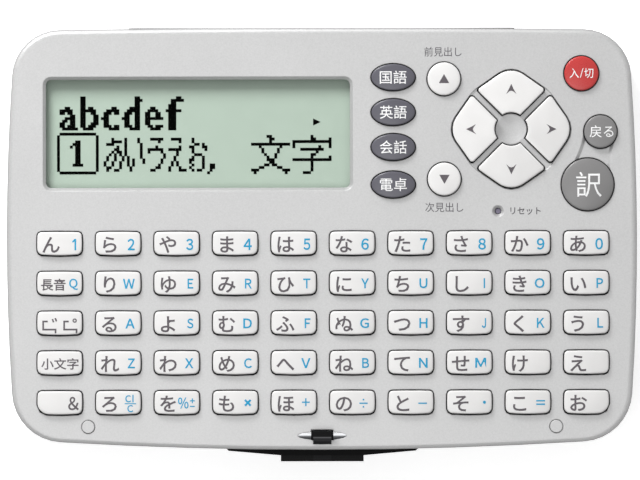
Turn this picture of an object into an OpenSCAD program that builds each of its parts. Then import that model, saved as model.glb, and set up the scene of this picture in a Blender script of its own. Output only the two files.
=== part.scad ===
// Pocket electronic dictionary with a cover that folds right round on a two-axis hinge.
// Millimetres. X runs to the right, Y to the hinge edge, Z up out of the keyboard face.
// The cover is drawn folded back under the case, so the part stands on the cover's rim.

/* [Case] */
// Width of the case at the middle of its bowed sides
case_w = 110.2; // [106:0.2:122]
// Depth of the case from its front edge to its hinge edge
case_d = 73.8; // [72:0.2:80]
// Thickness of the case from its back to its face
body_t = 9.4; // [9.2:0.1:12]
// How far each side bows out
side_bow = 1.6; // [0.8:0.1:2.4]
// How far the hinge edge bows out
back_bow = 0.45; // [0.3:0.05:0.8]
// How far the front edge bows out
front_bow = 2; // [1:0.1:2.4]
// Radius of the two corners at the hinge edge
corner_r_back = 8.5; // [6:0.5:9]
// Radius of the two corners at the front edge
corner_r_front = 9; // [6:0.5:9.5]
// Thickness of the face plate
face_t = 1.2; // [1:0.05:1.4]
// Thickness of the back plate
back_t = 1.3; // [1.2:0.05:1.5]
// Thickness of the side walls
wall_t = 1.5; // [1.2:0.05:1.6]
// Radius of the edge round the face
face_round = 0.9; // [0.4:0.1:1.2]
// Radius of the edge round the back
back_round = 1; // [0.6:0.1:1.2]
// How far the lower case stands in from the upper case at the parting line
shadow_gap = 0.15; // [0.05:0.05:0.3]

/* [Lid] */
// Thickness of the lid
lid_t = 3.6; // [3.4:0.1:5]
// Thickness of the lid's outer plate
lid_plate_t = 1.3; // [1:0.05:1.4]
// Thickness of the wall round the lid's rim
lid_wall_t = 1.2; // [1:0.05:1.6]
// Radius of the lid's outer edge
lid_round = 1.2; // [0.6:0.1:1.6]
// Gap between the face and the rim of the closed lid
close_gap = 0.1; // [0.1:0.05:0.3]

/* [Hinge] */
// Distance of the hinge link's ends from the widest part of the case
link_side = 21.3; // [20.8:0.1:24]
// Radius of the link's two knuckles
knuckle_r = 1.2; // [1.1:0.05:1.3]
// Thickness of the spine that joins the knuckles
spine_t = 0.9; // [0.8:0.05:1.1]
// Gap between the spine and the edge of the closed case
spine_gap = 0.15; // [0.1:0.05:0.3]
// How far the knuckle shows past the hinge edge
hinge_show = 0.1; // [0.1:0.05:0.3]
// Radius of the hinge pins
pin_r = 0.55; // [0.5:0.05:0.65]
// Radial clearance of the pins in the link
pin_fit = 0.05; // [0.03:0.01:0.08]
// Radial clearance of the pins in their seats
pin_seat = 0.01; // [0.01:0.01:0.02]
// Length of each pin inside the link
pin_in = 6; // [4:0.5:10]
// Length of each pin inside the case or the lid
pin_out = 2.5; // [2:0.1:2.8]
// Clearance between the link's ends and the cheeks beside it
link_side_gap = 0.25; // [0.2:0.05:0.4]
// Width of the cheeks that hold the pins
cheek_w = 3.2; // [3:0.1:3.6]
// Free space round the parts that swing
swing_gap = 0.2; // [0.2:0.05:0.4]

/* [Small keys] */
// Columns of small keys
key_cols = 10; // [10:1:10]
// Rows of small keys
key_rows = 5; // [4:1:6]
// Distance between the case's widest part and the middle of the nearest key column
key_side = 9.11; // [8.9:0.01:9.6]
// How far all the small keys stand to the right of the middle
key_shift = 0.18; // [0:0.01:0.2]
// Distance between the hinge edge and the middle of the first key row
key_back = 37.71; // [37:0.01:38]
// Distance between the front edge and the middle of the last key row
key_front = 8.29; // [8.1:0.01:8.8]
// Share of the distance between two columns that a key opening fills
key_w_share = 0.8; // [0.7:0.01:0.82]
// Share of the distance between two rows that a key opening fills
key_d_share = 0.65; // [0.6:0.01:0.66]
// Radius of a key's upper corners
key_r_back = 0.75; // [0.6:0.05:0.8]
// Radius of a key's lower corners
key_r_front = 0.95; // [0.8:0.05:1]
// Radius of the corner key's outer lower corner
key_r_outer = 1.9; // [1.6:0.1:2]
// How far a key's sides, upper edge and lower edge bow out
key_bows = [0.12, 0.06, 0.2];
// Height of the small keys above the face
key_rise = 1; // [0.7:0.05:1.2]
// Radius of the small keys' domed tops
key_dome_r = 30; // [20:1:60]
// Clearance between a key and its opening
key_gap = 0.17; // [0.12:0.01:0.22]
// Travel of every key
key_travel = 0.6; // [0.3:0.05:0.7]
// Thickness of the lip that keeps a key in
lip_t = 0.8; // [0.6:0.05:0.9]
// How far the lip reaches past the opening
lip_out = 0.4; // [0.3:0.05:0.45]
// Clearance between the lip and the face plate
lip_gap = 0.1; // [0.05:0.01:0.12]
// How far a key's stem stands in from its edge
stem_in = 1.1; // [0.9:0.05:1.3]

/* [Large keys] */
// Distance of the four oval mode keys from the right side
mode_side = 42.6; // [42.4:0.1:42.8]
// Distances of the four oval mode keys from the hinge edge
mode_back = [8.7, 14.8, 20.9, 27.45];
// Width of an oval opening
mode_w = 8.0; // [7:0.1:8.2]
// Height of an oval opening
mode_d = 4.95; // [4.4:0.05:5.1]
// Distances of the upper page key from the right side and the hinge edge
page_up_in = [33.73, 9];
// Distances of the lower page key from the right side and the hinge edge
page_down_in = [33.69, 26.51];
// Radius of a page key's opening
page_r = 3.05; // [2.6:0.05:3.1]
// Distances of the arrow keys' middle from the right side and the hinge edge
pad_in = [22, 17.8];
// Reach of the arrow openings from their middle
pad_reach = 10.42; // [9.6:0.02:10.6]
// Width of the rib between two arrow openings
pad_rib = 0.95; // [0.92:0.01:1.2]
// Radius of the dished hub between the arrow keys
pad_hub_r = 2.56; // [2.2:0.02:2.8]
// Width of the flat rim round the hub's dish
pad_hub_rim = 0.19; // [0.1:0.01:0.3]
// Slope of the arrow keys' outer edges
pad_slope = 35; // [33:1:38]
// Radius of the arrow keys' outer crown
pad_crown_r = 3.84; // [3:0.02:5]
// Radius of the arrow keys' tips
pad_tip_r = 0.5; // [0.3:0.05:0.8]
// Depth of the recess that the arrow keys stand in
pad_recess = 0.3; // [0.2:0.05:0.4]
// Depth of the dish in the hub
pad_dish = 0.35; // [0.2:0.05:0.4]
// Height of the arrow keys above the face
pad_rise = 1.15; // [0.9:0.05:1.3]
// Radius of the arrow keys' common dome
pad_dome_r = 80; // [60:5:160]
// Distances of the power key from the right side and the hinge edge
power_in = [9.72, 8.08];
// Radius of the power key's opening
power_r = 3.17; // [2.6:0.01:3.2]
// Distances of the back key from the right side and the hinge edge
back_in = [6.39, 18.25];
// Radius of the back key's opening
back_r = 3.03; // [2.6:0.01:3.1]
// Distances of the enter key from the right side and the hinge edge
enter_in = [8.65, 27.48];
// Radius of the enter key's opening
enter_r = 4.74; // [4:0.01:4.8]
// Height of the round and oval keys above the face
round_rise = 0.9; // [0.7:0.05:1.1]
// Radius of the round and oval keys' domed tops
round_dome_r = 22; // [15:1:40]
// Depth of the waisted channel between the back and enter keys
waist_depth = 0.35; // [0.2:0.05:0.4]
// How far the channel's waist stands in from the line between its keys' sides
waist_in = 0.8; // [0.4:0.05:1]
// Width of the channel's sloping sides
waist_slope = 0.55; // [0.3:0.05:0.7]

/* [Reset and stop pads] */
// Distances of the reset hole from the right side and the hinge edge
reset_in = [24.3, 32.1];
// Radius of the reset hole
reset_r = 0.55; // [0.5:0.05:0.7]
// Radius of the reset hole's countersink
reset_sink_r = 1.03; // [0.8:0.05:1.2]
// Depth of the plunger's top below the face
reset_drop = 0.45; // [0.3:0.05:0.5]
// Travel of the reset plunger
reset_travel = 0.5; // [0.3:0.05:0.5]
// Distances of the two stop pads from the widest side and the front edge
stop_in = [14.2, 4.1];
// Radius of a stop pad
stop_r = 1.1; // [0.9:0.05:1.2]
// How far the stop pads stand out of the face
stop_rise = 0.15; // [0.1:0.05:0.25]
// Width of the bevelled groove round a stop pad
stop_groove = 0.15; // [0.05:0.05:0.2]

/* [Display] */
// Distance of the display opening from the left side
lcd_side = 6.9; // [6.6:0.1:8]
// Distance between the display opening and the mode keys' openings
lcd_gap = 3.58; // [3.5:0.02:5]
// Distance of the display opening from the hinge edge
lcd_back = 9.05; // [8.6:0.05:9.6]
// Height of the display opening
lcd_d = 18.9; // [17:0.1:19.4]
// Radius of the opening's corners
lcd_r = 0.9; // [0.5:0.1:1.5]
// Width and depth of the bevel round the opening
lcd_bevel = 0.55; // [0.3:0.05:0.6]
// Thickness of the window
window_t = 1; // [0.8:0.05:1.1]
// How far the window reaches past the opening
window_margin = 1.7; // [1.2:0.1:1.8]
// Thickness of each display glass
glass_t = 0.6; // [0.5:0.05:0.7]
// How far the display glasses reach past the opening
glass_margin = 1; // [0.6:0.1:1.2]
// Height of the front glass's ledge that carries the contacts
contact_ledge = 1.5; // [1.3:0.1:1.7]
// Thickness of the reflector
reflector_t = 0.2; // [0.1:0.05:0.3]
// Thickness of the display frame's wall
frame_wall = 0.9; // [0.7:0.05:1]

/* [Board and battery] */
// Distance from the face to the board's upper side
board_drop = 4.5; // [4.4:0.05:4.7]
// Thickness of the board
board_t = 1; // [0.8:0.05:1.1]
// Distance between the board's ends and the widest part of the case
board_end = 4.7; // [4.4:0.1:5]
// Places of four posts under the board, as shares of half the case
board_post_share = [[-0.82, -0.3], [-0.24, -0.38], [0.27, -0.3], [0.82, -0.3]];
// Distances of the fifth post from the right side and the hinge edge
board_post_in = [22.1, 24.9];
// Radius of the posts under the board
board_post_r = 1.3; // [1:0.1:1.5]
// Distances of the controller from the right side and the hinge edge
controller_in = [25.1, 14.9];
// Radius of the drop of resin that covers the controller
controller_r = 5.5; // [4:0.5:6]
// Height of the drop of resin
controller_t = 1.6; // [1:0.1:2]
// Middle of the memory chip, as shares of half the case
memory_share = [-0.45, -0.515];
// Width of the memory chip
memory_w = 14; // [10:0.5:14]
// Thickness of the memory chip
memory_t = 1.8; // [1:0.1:2]
// Place of the crystal's end, as shares of half the case
crystal_share = [0.07, -0.49];
// Radius of the crystal's can
crystal_r = 1; // [0.8:0.1:1.2]
// Length of the crystal's can
crystal_len = 6; // [5:0.5:8]
// Place of the first capacitor, as shares of half the case
capacitor_share = [0.36, -0.54];
// Size of one capacitor
capacitor_size = [2, 1.2, 1];
// Distance between capacitors
capacitor_pitch = 4; // [3:0.5:5]
// Number of capacitors
capacitor_count = 5; // [3:1:6]
// Thickness of the silicone key mats
mat_t = 0.5; // [0.4:0.05:0.6]
// Radius of the domes on the key mats
dome_r = 1.5; // [1.2:0.1:1.7]
// Radius of a coin cell
cell_r = 10; // [9:0.1:10]
// Thickness of a coin cell
cell_t = 3.2; // [2.4:0.1:3.2]
// Distance between the two cells' middles
cell_pitch = 21.2; // [20.6:0.1:22]
// Thickness of the battery contacts
contact_t = 0.2; // [0.15:0.05:0.25]
// Thickness of the walls round the battery bay
bay_wall = 0.8; // [0.6:0.05:0.8]
// Clearance round the cells and the battery door
bay_gap = 0.5; // [0.4:0.05:0.5]
// How far the battery door's tongues reach into their grooves
tongue_out = 0.6; // [0.4:0.05:0.6]
// Thickness of the battery door's tongues
tongue_t = 0.46; // [0.4:0.02:0.5]
// Clearance of the battery door in its opening
door_gap = 0.1; // [0.06:0.01:0.12]
// Distance of the first cell's middle from the left side
cell_side = 18.27; // [18:0.05:18.5]

/* [Latch] */
// Width of the push tab
tab_w = 14.5; // [12:0.1:15]
// Height of the push tab
tab_h = 3; // [2.4:0.1:3.2]
// How far the push tab stands out of the front edge
tab_out = 2.2; // [1.6:0.1:2.4]
// Travel of the latch
latch_travel = 0.9; // [0.7:0.05:0.9]
// Clearance round the latch
latch_gap = 0.15; // [0.1:0.01:0.18]
// Width of the bezel that the tab slides in
bezel_w = 33.6; // [30:0.2:38]
// Height of the bezel
bezel_h = 4.4; // [4.2:0.1:4.8]
// How far the bezel stands out beside the tab
bezel_out = 1; // [0.9:0.05:1.4]
// Depth of the bezel's blunt ends
bezel_blunt = 0.4; // [0.2:0.1:0.5]
// Depth of the seat that the bezel stands in
bezel_seat = 0.6; // [0.4:0.05:0.7]
// Distance of the hook slot from the front edge
hook_in = 2.5; // [2.4:0.05:2.6]
// Width of the hook
hook_w = 3.6; // [3.2:0.1:4.2]
// Width of the hook's barb
barb_w = 3.2; // [2.6:0.1:3.4]
// How far the barb reaches past the neck
barb_out = 0.78; // [0.7:0.02:0.8]
// Thickness of the hook's neck
neck_t = 0.72; // [0.6:0.02:0.75]
// Height of the barb's underside above the face
barb_z = 1; // [0.95:0.05:1.1]
// Thickness of the barb
barb_t = 0.9; // [0.7:0.05:1]
// Width of the polished slot round the hook
slot_w = 8.6; // [7.5:0.1:9.5]
// Height of the polished slot
slot_d = 1.56; // [1.4:0.02:1.6]
// Outer radius of the latch spring
spring_r = 0.95; // [0.85:0.01:1]
// Radius of the spring's wire
wire_r = 0.14; // [0.1:0.01:0.16]
// Turns of the spring
spring_turns = 4; // [3:1:4]
// Length of the latch spring at rest
spring_len = 2.8; // [2.6:0.1:3]

/* [Screws and feet] */
// Distances of the two rear case screws from the widest side and the hinge edge
screw_back_in = [15.1, 4];
// Distances of the two front case screws from the widest side and the front edge
screw_front_in = [19.1, 3.8];
// Radius of a case screw's thread
case_screw_r = 0.85; // [0.7:0.05:0.95]
// Radius of a case screw's head
case_head_r = 1.45; // [1.3:0.05:1.5]
// Height of a screw's head
head_t = 0.9; // [0.6:0.1:1]
// Depth of a case screw's head below the back
head_drop = 0.2; // [0.1:0.05:0.2]
// Distances of the two board screws under the display from the left side
board_screw_side = [7.6, 33.1];
// Distances of the two other board screws from the right side and the hinge edge
board_screw_in = [[34.6, 33], [28.3, 6.4]];
// Radius of a board screw's thread
board_screw_r = 0.6; // [0.5:0.05:0.7]
// Radius of a board screw's head
board_head_r = 1.2; // [1:0.05:1.2]
// Wall round a screw thread
boss_wall = 0.7; // [0.6:0.05:0.75]
// Distances of the two rear feet from the widest side and the hinge edge
foot_back_in = [8.6, 3.8];
// Distances of the two front feet from the widest side and the front edge
foot_front_in = [9.6, 5.5];
// Radius of a rubber foot
foot_r = 1.6; // [1.3:0.1:1.8]
// How far the feet stand out of the back
foot_out = 0.4; // [0.3:0.05:0.6]
// Depth of a foot's seat
foot_seat = 0.6; // [0.4:0.05:0.7]

/* [Hidden] */
$fn = 48;

silver = "#cfd0d2";
pale_key = "#ecebea";
grey_key = "#7d7c82";
light_grey_key = "#8f8d8e";
red_key = "#d8403a";
black = "#1b1b1d";
steel = "#b9bcc0";

// Thinnest slice, and a length that is sure to pass right through
eps = 0.01;
through = 20;
// Clearance of pieces that lie in a seat, and free room round pieces that pass each other
fit = 0.1;
loose = 0.2;
// Solid left over the end of a blind hole
hole_end = 0.5;

// Heights of the main planes
back_z = lid_t + foot_out;
face_z = back_z + body_t;
lid_axis_z = lid_t / 2;
hinge_z = face_z - (body_t + foot_out - close_gap) / 2;
floor_z = back_z + back_t;
under_z = face_z - face_t;
lip_z = under_z - lip_gap - lip_t;
board_z = face_z - board_drop;
board_low_z = board_z - board_t;
mat_z = board_z + mat_t;
dome_share = 0.65;
dome_h = (lip_z - mat_z) * dome_share;
stem_z = mat_z + dome_h + fit / 2;

// Half the case, and places measured from its sides
half_w = case_w / 2;
half_d = case_d / 2;
function back_right(v) = [half_w - v.x, half_d - v.y];
function back_pair(v) = [for (side = [-1, 1]) [side * (half_w - v.x), half_d - v.y]];
function front_pair(v) = [for (side = [-1, 1]) [side * (half_w - v.x), v.y - half_d]];
function shared(v) = [half_w * v.x, half_d * v.y];
quarter = 90;
link_w = case_w - 2 * link_side;
mode_x = half_w - mode_side;
mode_y = [for (y = mode_back) half_d - y];
page_up_at = back_right(page_up_in);
page_down_at = back_right(page_down_in);
pad_at = back_right(pad_in);
power_at = back_right(power_in);
back_at = back_right(back_in);
enter_at = back_right(enter_in);
reset_at = back_right(reset_in);
stop_at = front_pair(stop_in);
controller_at = back_right(controller_in);
memory_at = shared(memory_share);
crystal_at = shared(crystal_share);
capacitor_at = shared(capacitor_share);
board_post_at = concat([for (v = board_post_share) shared(v)], [back_right(board_post_in)]);
foot_at = concat(back_pair(foot_back_in), front_pair(foot_front_in));
hinge_y = half_d + hinge_show - knuckle_r;
spine_in = half_d - hinge_y + spine_gap;
root_share = 0.75;
root_h = knuckle_r * root_share;
swing_r = norm([spine_in + spine_t, root_h]) + swing_gap;
notch_w = link_w + 2 * link_side_gap;
pocket_y = hinge_y - swing_r;
pocket_wall = 1.2;
block_y = pocket_y - pocket_wall;
block_x = notch_w / 2 + cheek_w;
tab_front_y = -half_d - tab_out;
frame_y = -(tab_front_y + half_d + hinge_show) / 2;
key_pitch_x = (case_w - 2 * key_side) / (key_cols - 1);
key_pitch_y = (case_d - key_back - key_front) / (key_rows - 1);
key_w = key_pitch_x * key_w_share;
key_d = key_pitch_y * key_d_share;
column_x = [for (i = [0:key_cols - 1]) key_side - half_w + key_shift + i * key_pitch_x];
row_y = [for (j = [0:key_rows - 1]) half_d - key_back - j * key_pitch_y];

// The display's pieces: ends, lower edges and upper edge, and the planes between them
lcd_w = case_w - lcd_side - mode_side - mode_w / 2 - lcd_gap;
lcd_at = [lcd_side + lcd_w / 2 - half_w, half_d - lcd_back - lcd_d / 2];
glass_x = [lcd_at.x - lcd_w / 2 - glass_margin, lcd_at.x + lcd_w / 2 + glass_margin];
glass_top_y = lcd_at.y + lcd_d / 2 + window_margin;
glass_low_y = lcd_at.y - lcd_d / 2 - glass_margin / 2;
ledge_y = glass_low_y - contact_ledge;
frame_low_wall = frame_wall * 0.7;
frame_low_y = ledge_y - fit - frame_low_wall;
window_z = under_z - window_t;
glass_z = window_z - fit - glass_t;
rear_z = glass_z - glass_t;
reflector_z = rear_z - reflector_t;
zebra_in = 2;

// The board and what lies under it
board_x = half_w - board_end;
board_bottom_y = row_y[key_rows - 1] - key_d / 2 - lip_out + fit;
board_top_y = lcd_at.y - cell_r - 2 * contact_t;
board_right_x = lcd_at.x + lcd_w / 2 + window_margin + frame_wall + loose * 3;
case_boss_r = case_screw_r + boss_wall;
board_boss_r = board_screw_r + boss_wall;
head_boss_r = case_head_r + boss_wall;
mid_screw_y = frame_low_y - loose - case_boss_r;
case_screw_at = concat(back_pair(screw_back_in), front_pair(screw_front_in), [[0, mid_screw_y]]);
board_screw_at = concat([for (x = board_screw_side) [x - half_w, mid_screw_y]],
    [for (v = board_screw_in) back_right(v)]);

// The battery bay
cell_y = lcd_at.y;
cell_x = [for (i = [0, 1]) cell_side - half_w + i * cell_pitch];
bay_half = cell_r + bay_gap;
bay_x = [cell_x[0] - bay_half, cell_x[1] + bay_half];
door_half = bay_half + bay_wall / 2;
door_x = bay_x[1] + bay_wall / 2;
tongue_z = back_z + (back_t - tongue_t) * 0.6;
cell_top_z = floor_z + cell_t;
frame_low_z = board_z;

// The latch
hook_y = -half_d + hook_in;
neck_front_y = hook_y - slot_d / 2 + fit;
neck_back_y = neck_front_y + neck_t;
head_back_y = hook_y + slot_d / 2 + fit;
head_z = face_z + barb_z + barb_t;
spring_y = neck_back_y;
spring_z = floor_z + spring_r + loose;
spring_rib_t = 0.8;

// Points of an arc about c, from angle a0 to angle a1
function arc_points(c, r, a0, a1, n) =
    [for (i = [0:n]) c + r * [cos(a0 + (a1 - a0) * i / n), sin(a0 + (a1 - a0) * i / n)]];

// Radius of an arc that rises by bow over half a chord
function bow_radius(half, bow) = (half * half + bow * bow) / (2 * bow);

// Where two circles meet, on the side that q points to
function meet(c1, r1, c2, r2, q) =
    let (d = norm(c2 - c1), u = (c2 - c1) / d, a = (r1 * r1 - r2 * r2 + d * d) / (2 * d))
    let (h = sqrt(r1 * r1 - a * a), p = c1 + a * u, v = [-u.y, u.x])
    (h * v * q > 0) ? p + h * v : p - h * v;

function heading(v) = atan2(v.y, v.x) < 0 ? atan2(v.y, v.x) + 360 : atan2(v.y, v.x);

function inner(list) = [for (i = [1:len(list) - 2]) list[i]];

// Four bowed edges with rounded corners, moved in by inset. bows: sides, back, front.
// radii: right back, left back, left front, right front.
function bowed(w, d, bows, radii, inset, nc, ne) =
    let (hw = w / 2, hd = d / 2)
    let (rs = bow_radius(hd, bows[0]), rb = bow_radius(hw, bows[1]), rf = bow_radius(hw, bows[2]))
    let (cr = [hw - rs, 0], cl = [rs - hw, 0], cb = [0, hd - rb], cf = [0, rf - hd])
    let (p0 = meet(cr, rs - radii[0], cb, rb - radii[0], [1, 1]))
    let (p1 = meet(cl, rs - radii[1], cb, rb - radii[1], [-1, 1]))
    let (p2 = meet(cl, rs - radii[2], cf, rf - radii[2], [-1, -1]))
    let (p3 = meet(cr, rs - radii[3], cf, rf - radii[3], [1, -1]))
    concat(
        arc_points(p0, radii[0] - inset, heading(p0 - cr), heading(p0 - cb), nc),
        inner(arc_points(cb, rb - inset, heading(p0 - cb), heading(p1 - cb), ne)),
        arc_points(p1, radii[1] - inset, heading(p1 - cb), heading(p1 - cl), nc),
        inner(arc_points(cl, rs - inset, heading(p1 - cl), heading(p2 - cl), ne)),
        arc_points(p2, radii[2] - inset, heading(p2 - cl), heading(p2 - cf), nc),
        inner(arc_points(cf, rf - inset, heading(p2 - cf), heading(p3 - cf), ne)),
        arc_points(p3, radii[3] - inset, heading(p3 - cf), heading(p3 - cr), nc),
        inner(arc_points(cr, rs - inset, heading(p3 - cr), heading(p0 - cr) + 360, ne)));

function unit(v) = v / norm(v);

// The arc that rounds corner p of a polygon, between its neighbours a and b
function fillet(a, p, b, r, n) =
    let (u = unit(a - p), v = unit(b - p), half = acos(u * v) / 2)
    let (c = p + unit(u + v) * r / sin(half), s = p + u * r / tan(half) - c)
    let (e = p + v * r / tan(half) - c, a0 = atan2(s.y, s.x), a1 = atan2(e.y, e.x))
    arc_points(c, r, a0, a0 + (a1 - a0 + 540) % 360 - 180, n);

function rounded(points, radii, n) =
    let (k = len(points))
    [for (i = [0:k - 1])
        each fillet(points[(i + k - 1) % k], points[i], points[(i + 1) % k], radii[i], n)];

function rectangle(w, d) = [[w, d] / 2, [-w, d] / 2, [-w, -d] / 2, [w, -d] / 2];

function ellipse(w, d, n) = [for (i = [0:n - 1]) [w / 2 * cos(360 * i / n), d / 2 * sin(360 * i / n)]];

// Outline of the case, moved in by inset
function outline(inset) =
    bowed(case_w, case_d, [side_bow, back_bow, front_bow],
        [corner_r_back, corner_r_back, corner_r_front, corner_r_front], inset, 8, 8);

// Outline of a small key's opening, moved in by inset
function key_outline(inset, r_left, r_right) =
    bowed(key_w, key_d, key_bows, [key_r_back, key_r_back, r_left, r_right], inset, 2, 2);

// Corners of one arrow opening, which points along +Y, moved in by inset
function pad_corners(inset) =
    let (t = tan(pad_slope), low = (pad_rib / 2 + inset) * sqrt(2))
    let (high = pad_high(-inset), x = (high - low) / (1 + t))
    [[0, low], [x, x + low], [0, high], [-x, x + low]];

// Distance from the middle of the arrow keys to the point where their outer edges would meet
function pad_high(grow) =
    pad_reach + pad_crown_r * (1 / cos(pad_slope) - 1) + grow / cos(pad_slope);

module outline_prism(inset, z0, z1) {
    translate([0, 0, z0])
        linear_extrude(z1 - z0)
            polygon(outline(inset));
}

// Outline block with its upper edge rounded over by r
module rounded_block(inset, z0, z1, r) {
    hull() {
        outline_prism(inset, z0, z1 - r);
        for (i = [1:5])
            outline_prism(inset + r * (1 - cos(18 * i)), z1 - r, z1 - r + r * sin(18 * i));
    }
}

// The same block with its lower edge rounded over by r
module rounded_block_below(inset, z0, z1, r) {
    hull() {
        outline_prism(inset, z0 + r, z1);
        for (i = [1:5])
            outline_prism(inset + r * (1 - cos(18 * i)), z0 + r - r * sin(18 * i), z0 + r);
    }
}

module box(x, y, z) {
    translate([x[0], y[0], z[0]])
        cube([x[1] - x[0], y[1] - y[0], z[1] - z[0]]);
}

module post(at, r, z0, z1) {
    translate([at.x, at.y, z0])
        cylinder(r = r, h = z1 - z0);
}

// A round rod along X at both ends of the hinge
module hinge_rods(r, x0, x1, z) {
    for (side = [-1, 1])
        translate([side > 0 ? x0 : -x1, hinge_y, z])
            rotate([0, 90, 0])
                cylinder(r = r, h = x1 - x0);
}

// Everything is drawn about the middle of the case, then moved so that the box is centred
module placed() {
    translate([0, frame_y, 0])
        children();
}

module small_key_2d(i, j, inset) {
    r_left = (i == 0 && j == key_rows - 1) ? key_r_outer : key_r_front;
    r_right = (i == key_cols - 1 && j == key_rows - 1) ? key_r_outer : key_r_front;
    translate([column_x[i], row_y[j]])
        polygon(key_outline(inset, r_left, r_right));
}

module arrow_2d(turn, inset) {
    translate(pad_at)
        rotate(turn)
            difference() {
                polygon(rounded(pad_corners(inset), [fit, pad_tip_r, pad_crown_r, pad_tip_r], 4));
                circle(r = pad_hub_r + pad_hub_rim + inset);
            }
}

module mode_2d(i, inset) {
    translate([mode_x, mode_y[i]])
        polygon(ellipse(mode_w - 2 * inset, mode_d - 2 * inset, 36));
}

module round_2d(at, r, inset) {
    translate(at)
        circle(r = r - inset);
}

// The recess that joins the four arrow openings
module pad_recess_2d() {
    t = tan(pad_slope);
    high = pad_high(fit);
    tip = pad_corners(0)[1].x;
    points = [for (q = [0:3], s = [[high, 0], [high - t * tip, tip], [tip, high - t * tip]])
        [s.x * cos(quarter * q) - s.y * sin(quarter * q), s.x * sin(quarter * q) + s.y * cos(quarter * q)]];
    radii = [for (q = [0:3], r = [pad_crown_r, pad_tip_r, pad_tip_r]) r];
    translate(pad_at)
        polygon(rounded(points, radii, 4));
}

// The waisted channel between the back and enter keys, in sections from one middle to the other
module waist_cut() {
    count = 10;
    along = enter_at - back_at;
    u = unit(along);
    across = [-u.y, u.x];
    rise = waist_depth / 2;
    spread = waist_slope * rise / waist_depth;
    points = [for (i = [0:count])
        each let (t = i / count, c = back_at + along * t)
            let (w = back_r - fit + (enter_r - back_r) * t - 4 * waist_in * t * (1 - t))
            [for (s = [[w + spread, rise], [-w - spread, rise], [waist_slope - w, -waist_depth],
                [w - waist_slope, -waist_depth]])
                [c.x + across.x * s[0], c.y + across.y * s[0], face_z + s[1]]]];
    sides = [for (i = [0:count - 1], k = [0:3])
        each let (a = 4 * i + k, b = 4 * i + (k + 1) % 4) [[b, a, b + 4], [b + 4, a, a + 4]]];
    last = 4 * count;
    ends = [[0, 1, 2], [0, 2, 3], [last, last + 2, last + 1], [last, last + 3, last + 2]];
    polyhedron(points = points, faces = concat(sides, ends));
}

// The bevel round the display opening
module lcd_bevel_cut() {
    hull() {
        for (grow = [0, lcd_bevel + eps])
            translate([lcd_at.x, lcd_at.y, face_z - lcd_bevel + grow])
                linear_extrude(eps)
                    lcd_2d(grow);
    }
}

module lcd_2d(grow) {
    r = lcd_r + grow;
    polygon(rounded(rectangle(lcd_w + 2 * grow, lcd_d + 2 * grow), [r, r, r, r], 4));
}

// A key: child 0 is its cap, child 1 its lip and child 2 its stem
module key_solid(at, rise, dome) {
    intersection() {
        translate([0, 0, lip_z])
            linear_extrude(face_z + rise - lip_z)
                children(0);
        translate([at.x, at.y, face_z + rise - dome])
            rotate([90, 0, 0])
                sphere(r = dome, $fn = 240);
    }
    translate([0, 0, lip_z])
        linear_extrude(lip_t)
            children(1);
    translate([0, 0, stem_z])
        linear_extrude(lip_z - stem_z)
            children(2);
}

module key_openings() {
    linear_extrude(through) {
        for (i = [0:key_cols - 1], j = [0:key_rows - 1])
            small_key_2d(i, j, 0);
        for (i = [0:3])
            mode_2d(i, 0);
        for (q = [0:3])
            arrow_2d(quarter * q, 0);
        round_2d(page_up_at, page_r, 0);
        round_2d(page_down_at, page_r, 0);
        round_2d(power_at, power_r, 0);
        round_2d(back_at, back_r, 0);
        round_2d(enter_at, enter_r, 0);
    }
}

// Solid block behind the hinge pocket, with the cheeks for the pins
module hinge_block(z0, z1) {
    intersection() {
        box([-block_x, block_x], [block_y, half_d], [z0, z1]);
        outline_prism(wall_t / 2, z0, z1);
    }
}

module hinge_pocket(z0, z1) {
    box([-notch_w / 2, notch_w / 2], [pocket_y, half_d + through], [z0, z1]);
}

module latch_opening() {
    x = tab_w / 2 + latch_gap;
    z = tab_h / 2 + latch_gap;
    box([-x, x], [-half_d - through, hook_y], [hinge_z - z, hinge_z + z]);
}

module bezel_seat_cut(extra) {
    difference() {
        box([-bezel_w / 2 - extra, bezel_w / 2 + extra], [-half_d - through, hook_y],
            [hinge_z - bezel_h / 2 - extra, hinge_z + bezel_h / 2 + extra]);
        outline_prism(bezel_seat, hinge_z - bezel_h, hinge_z + bezel_h);
    }
}

module neck_slot_2d() {
    x = hook_w / 2 + latch_gap;
    y0 = neck_front_y - fit;
    y1 = neck_back_y + latch_travel + fit;
    translate([-x, y0])
        square([2 * x, y1 - y0]);
}

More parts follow.
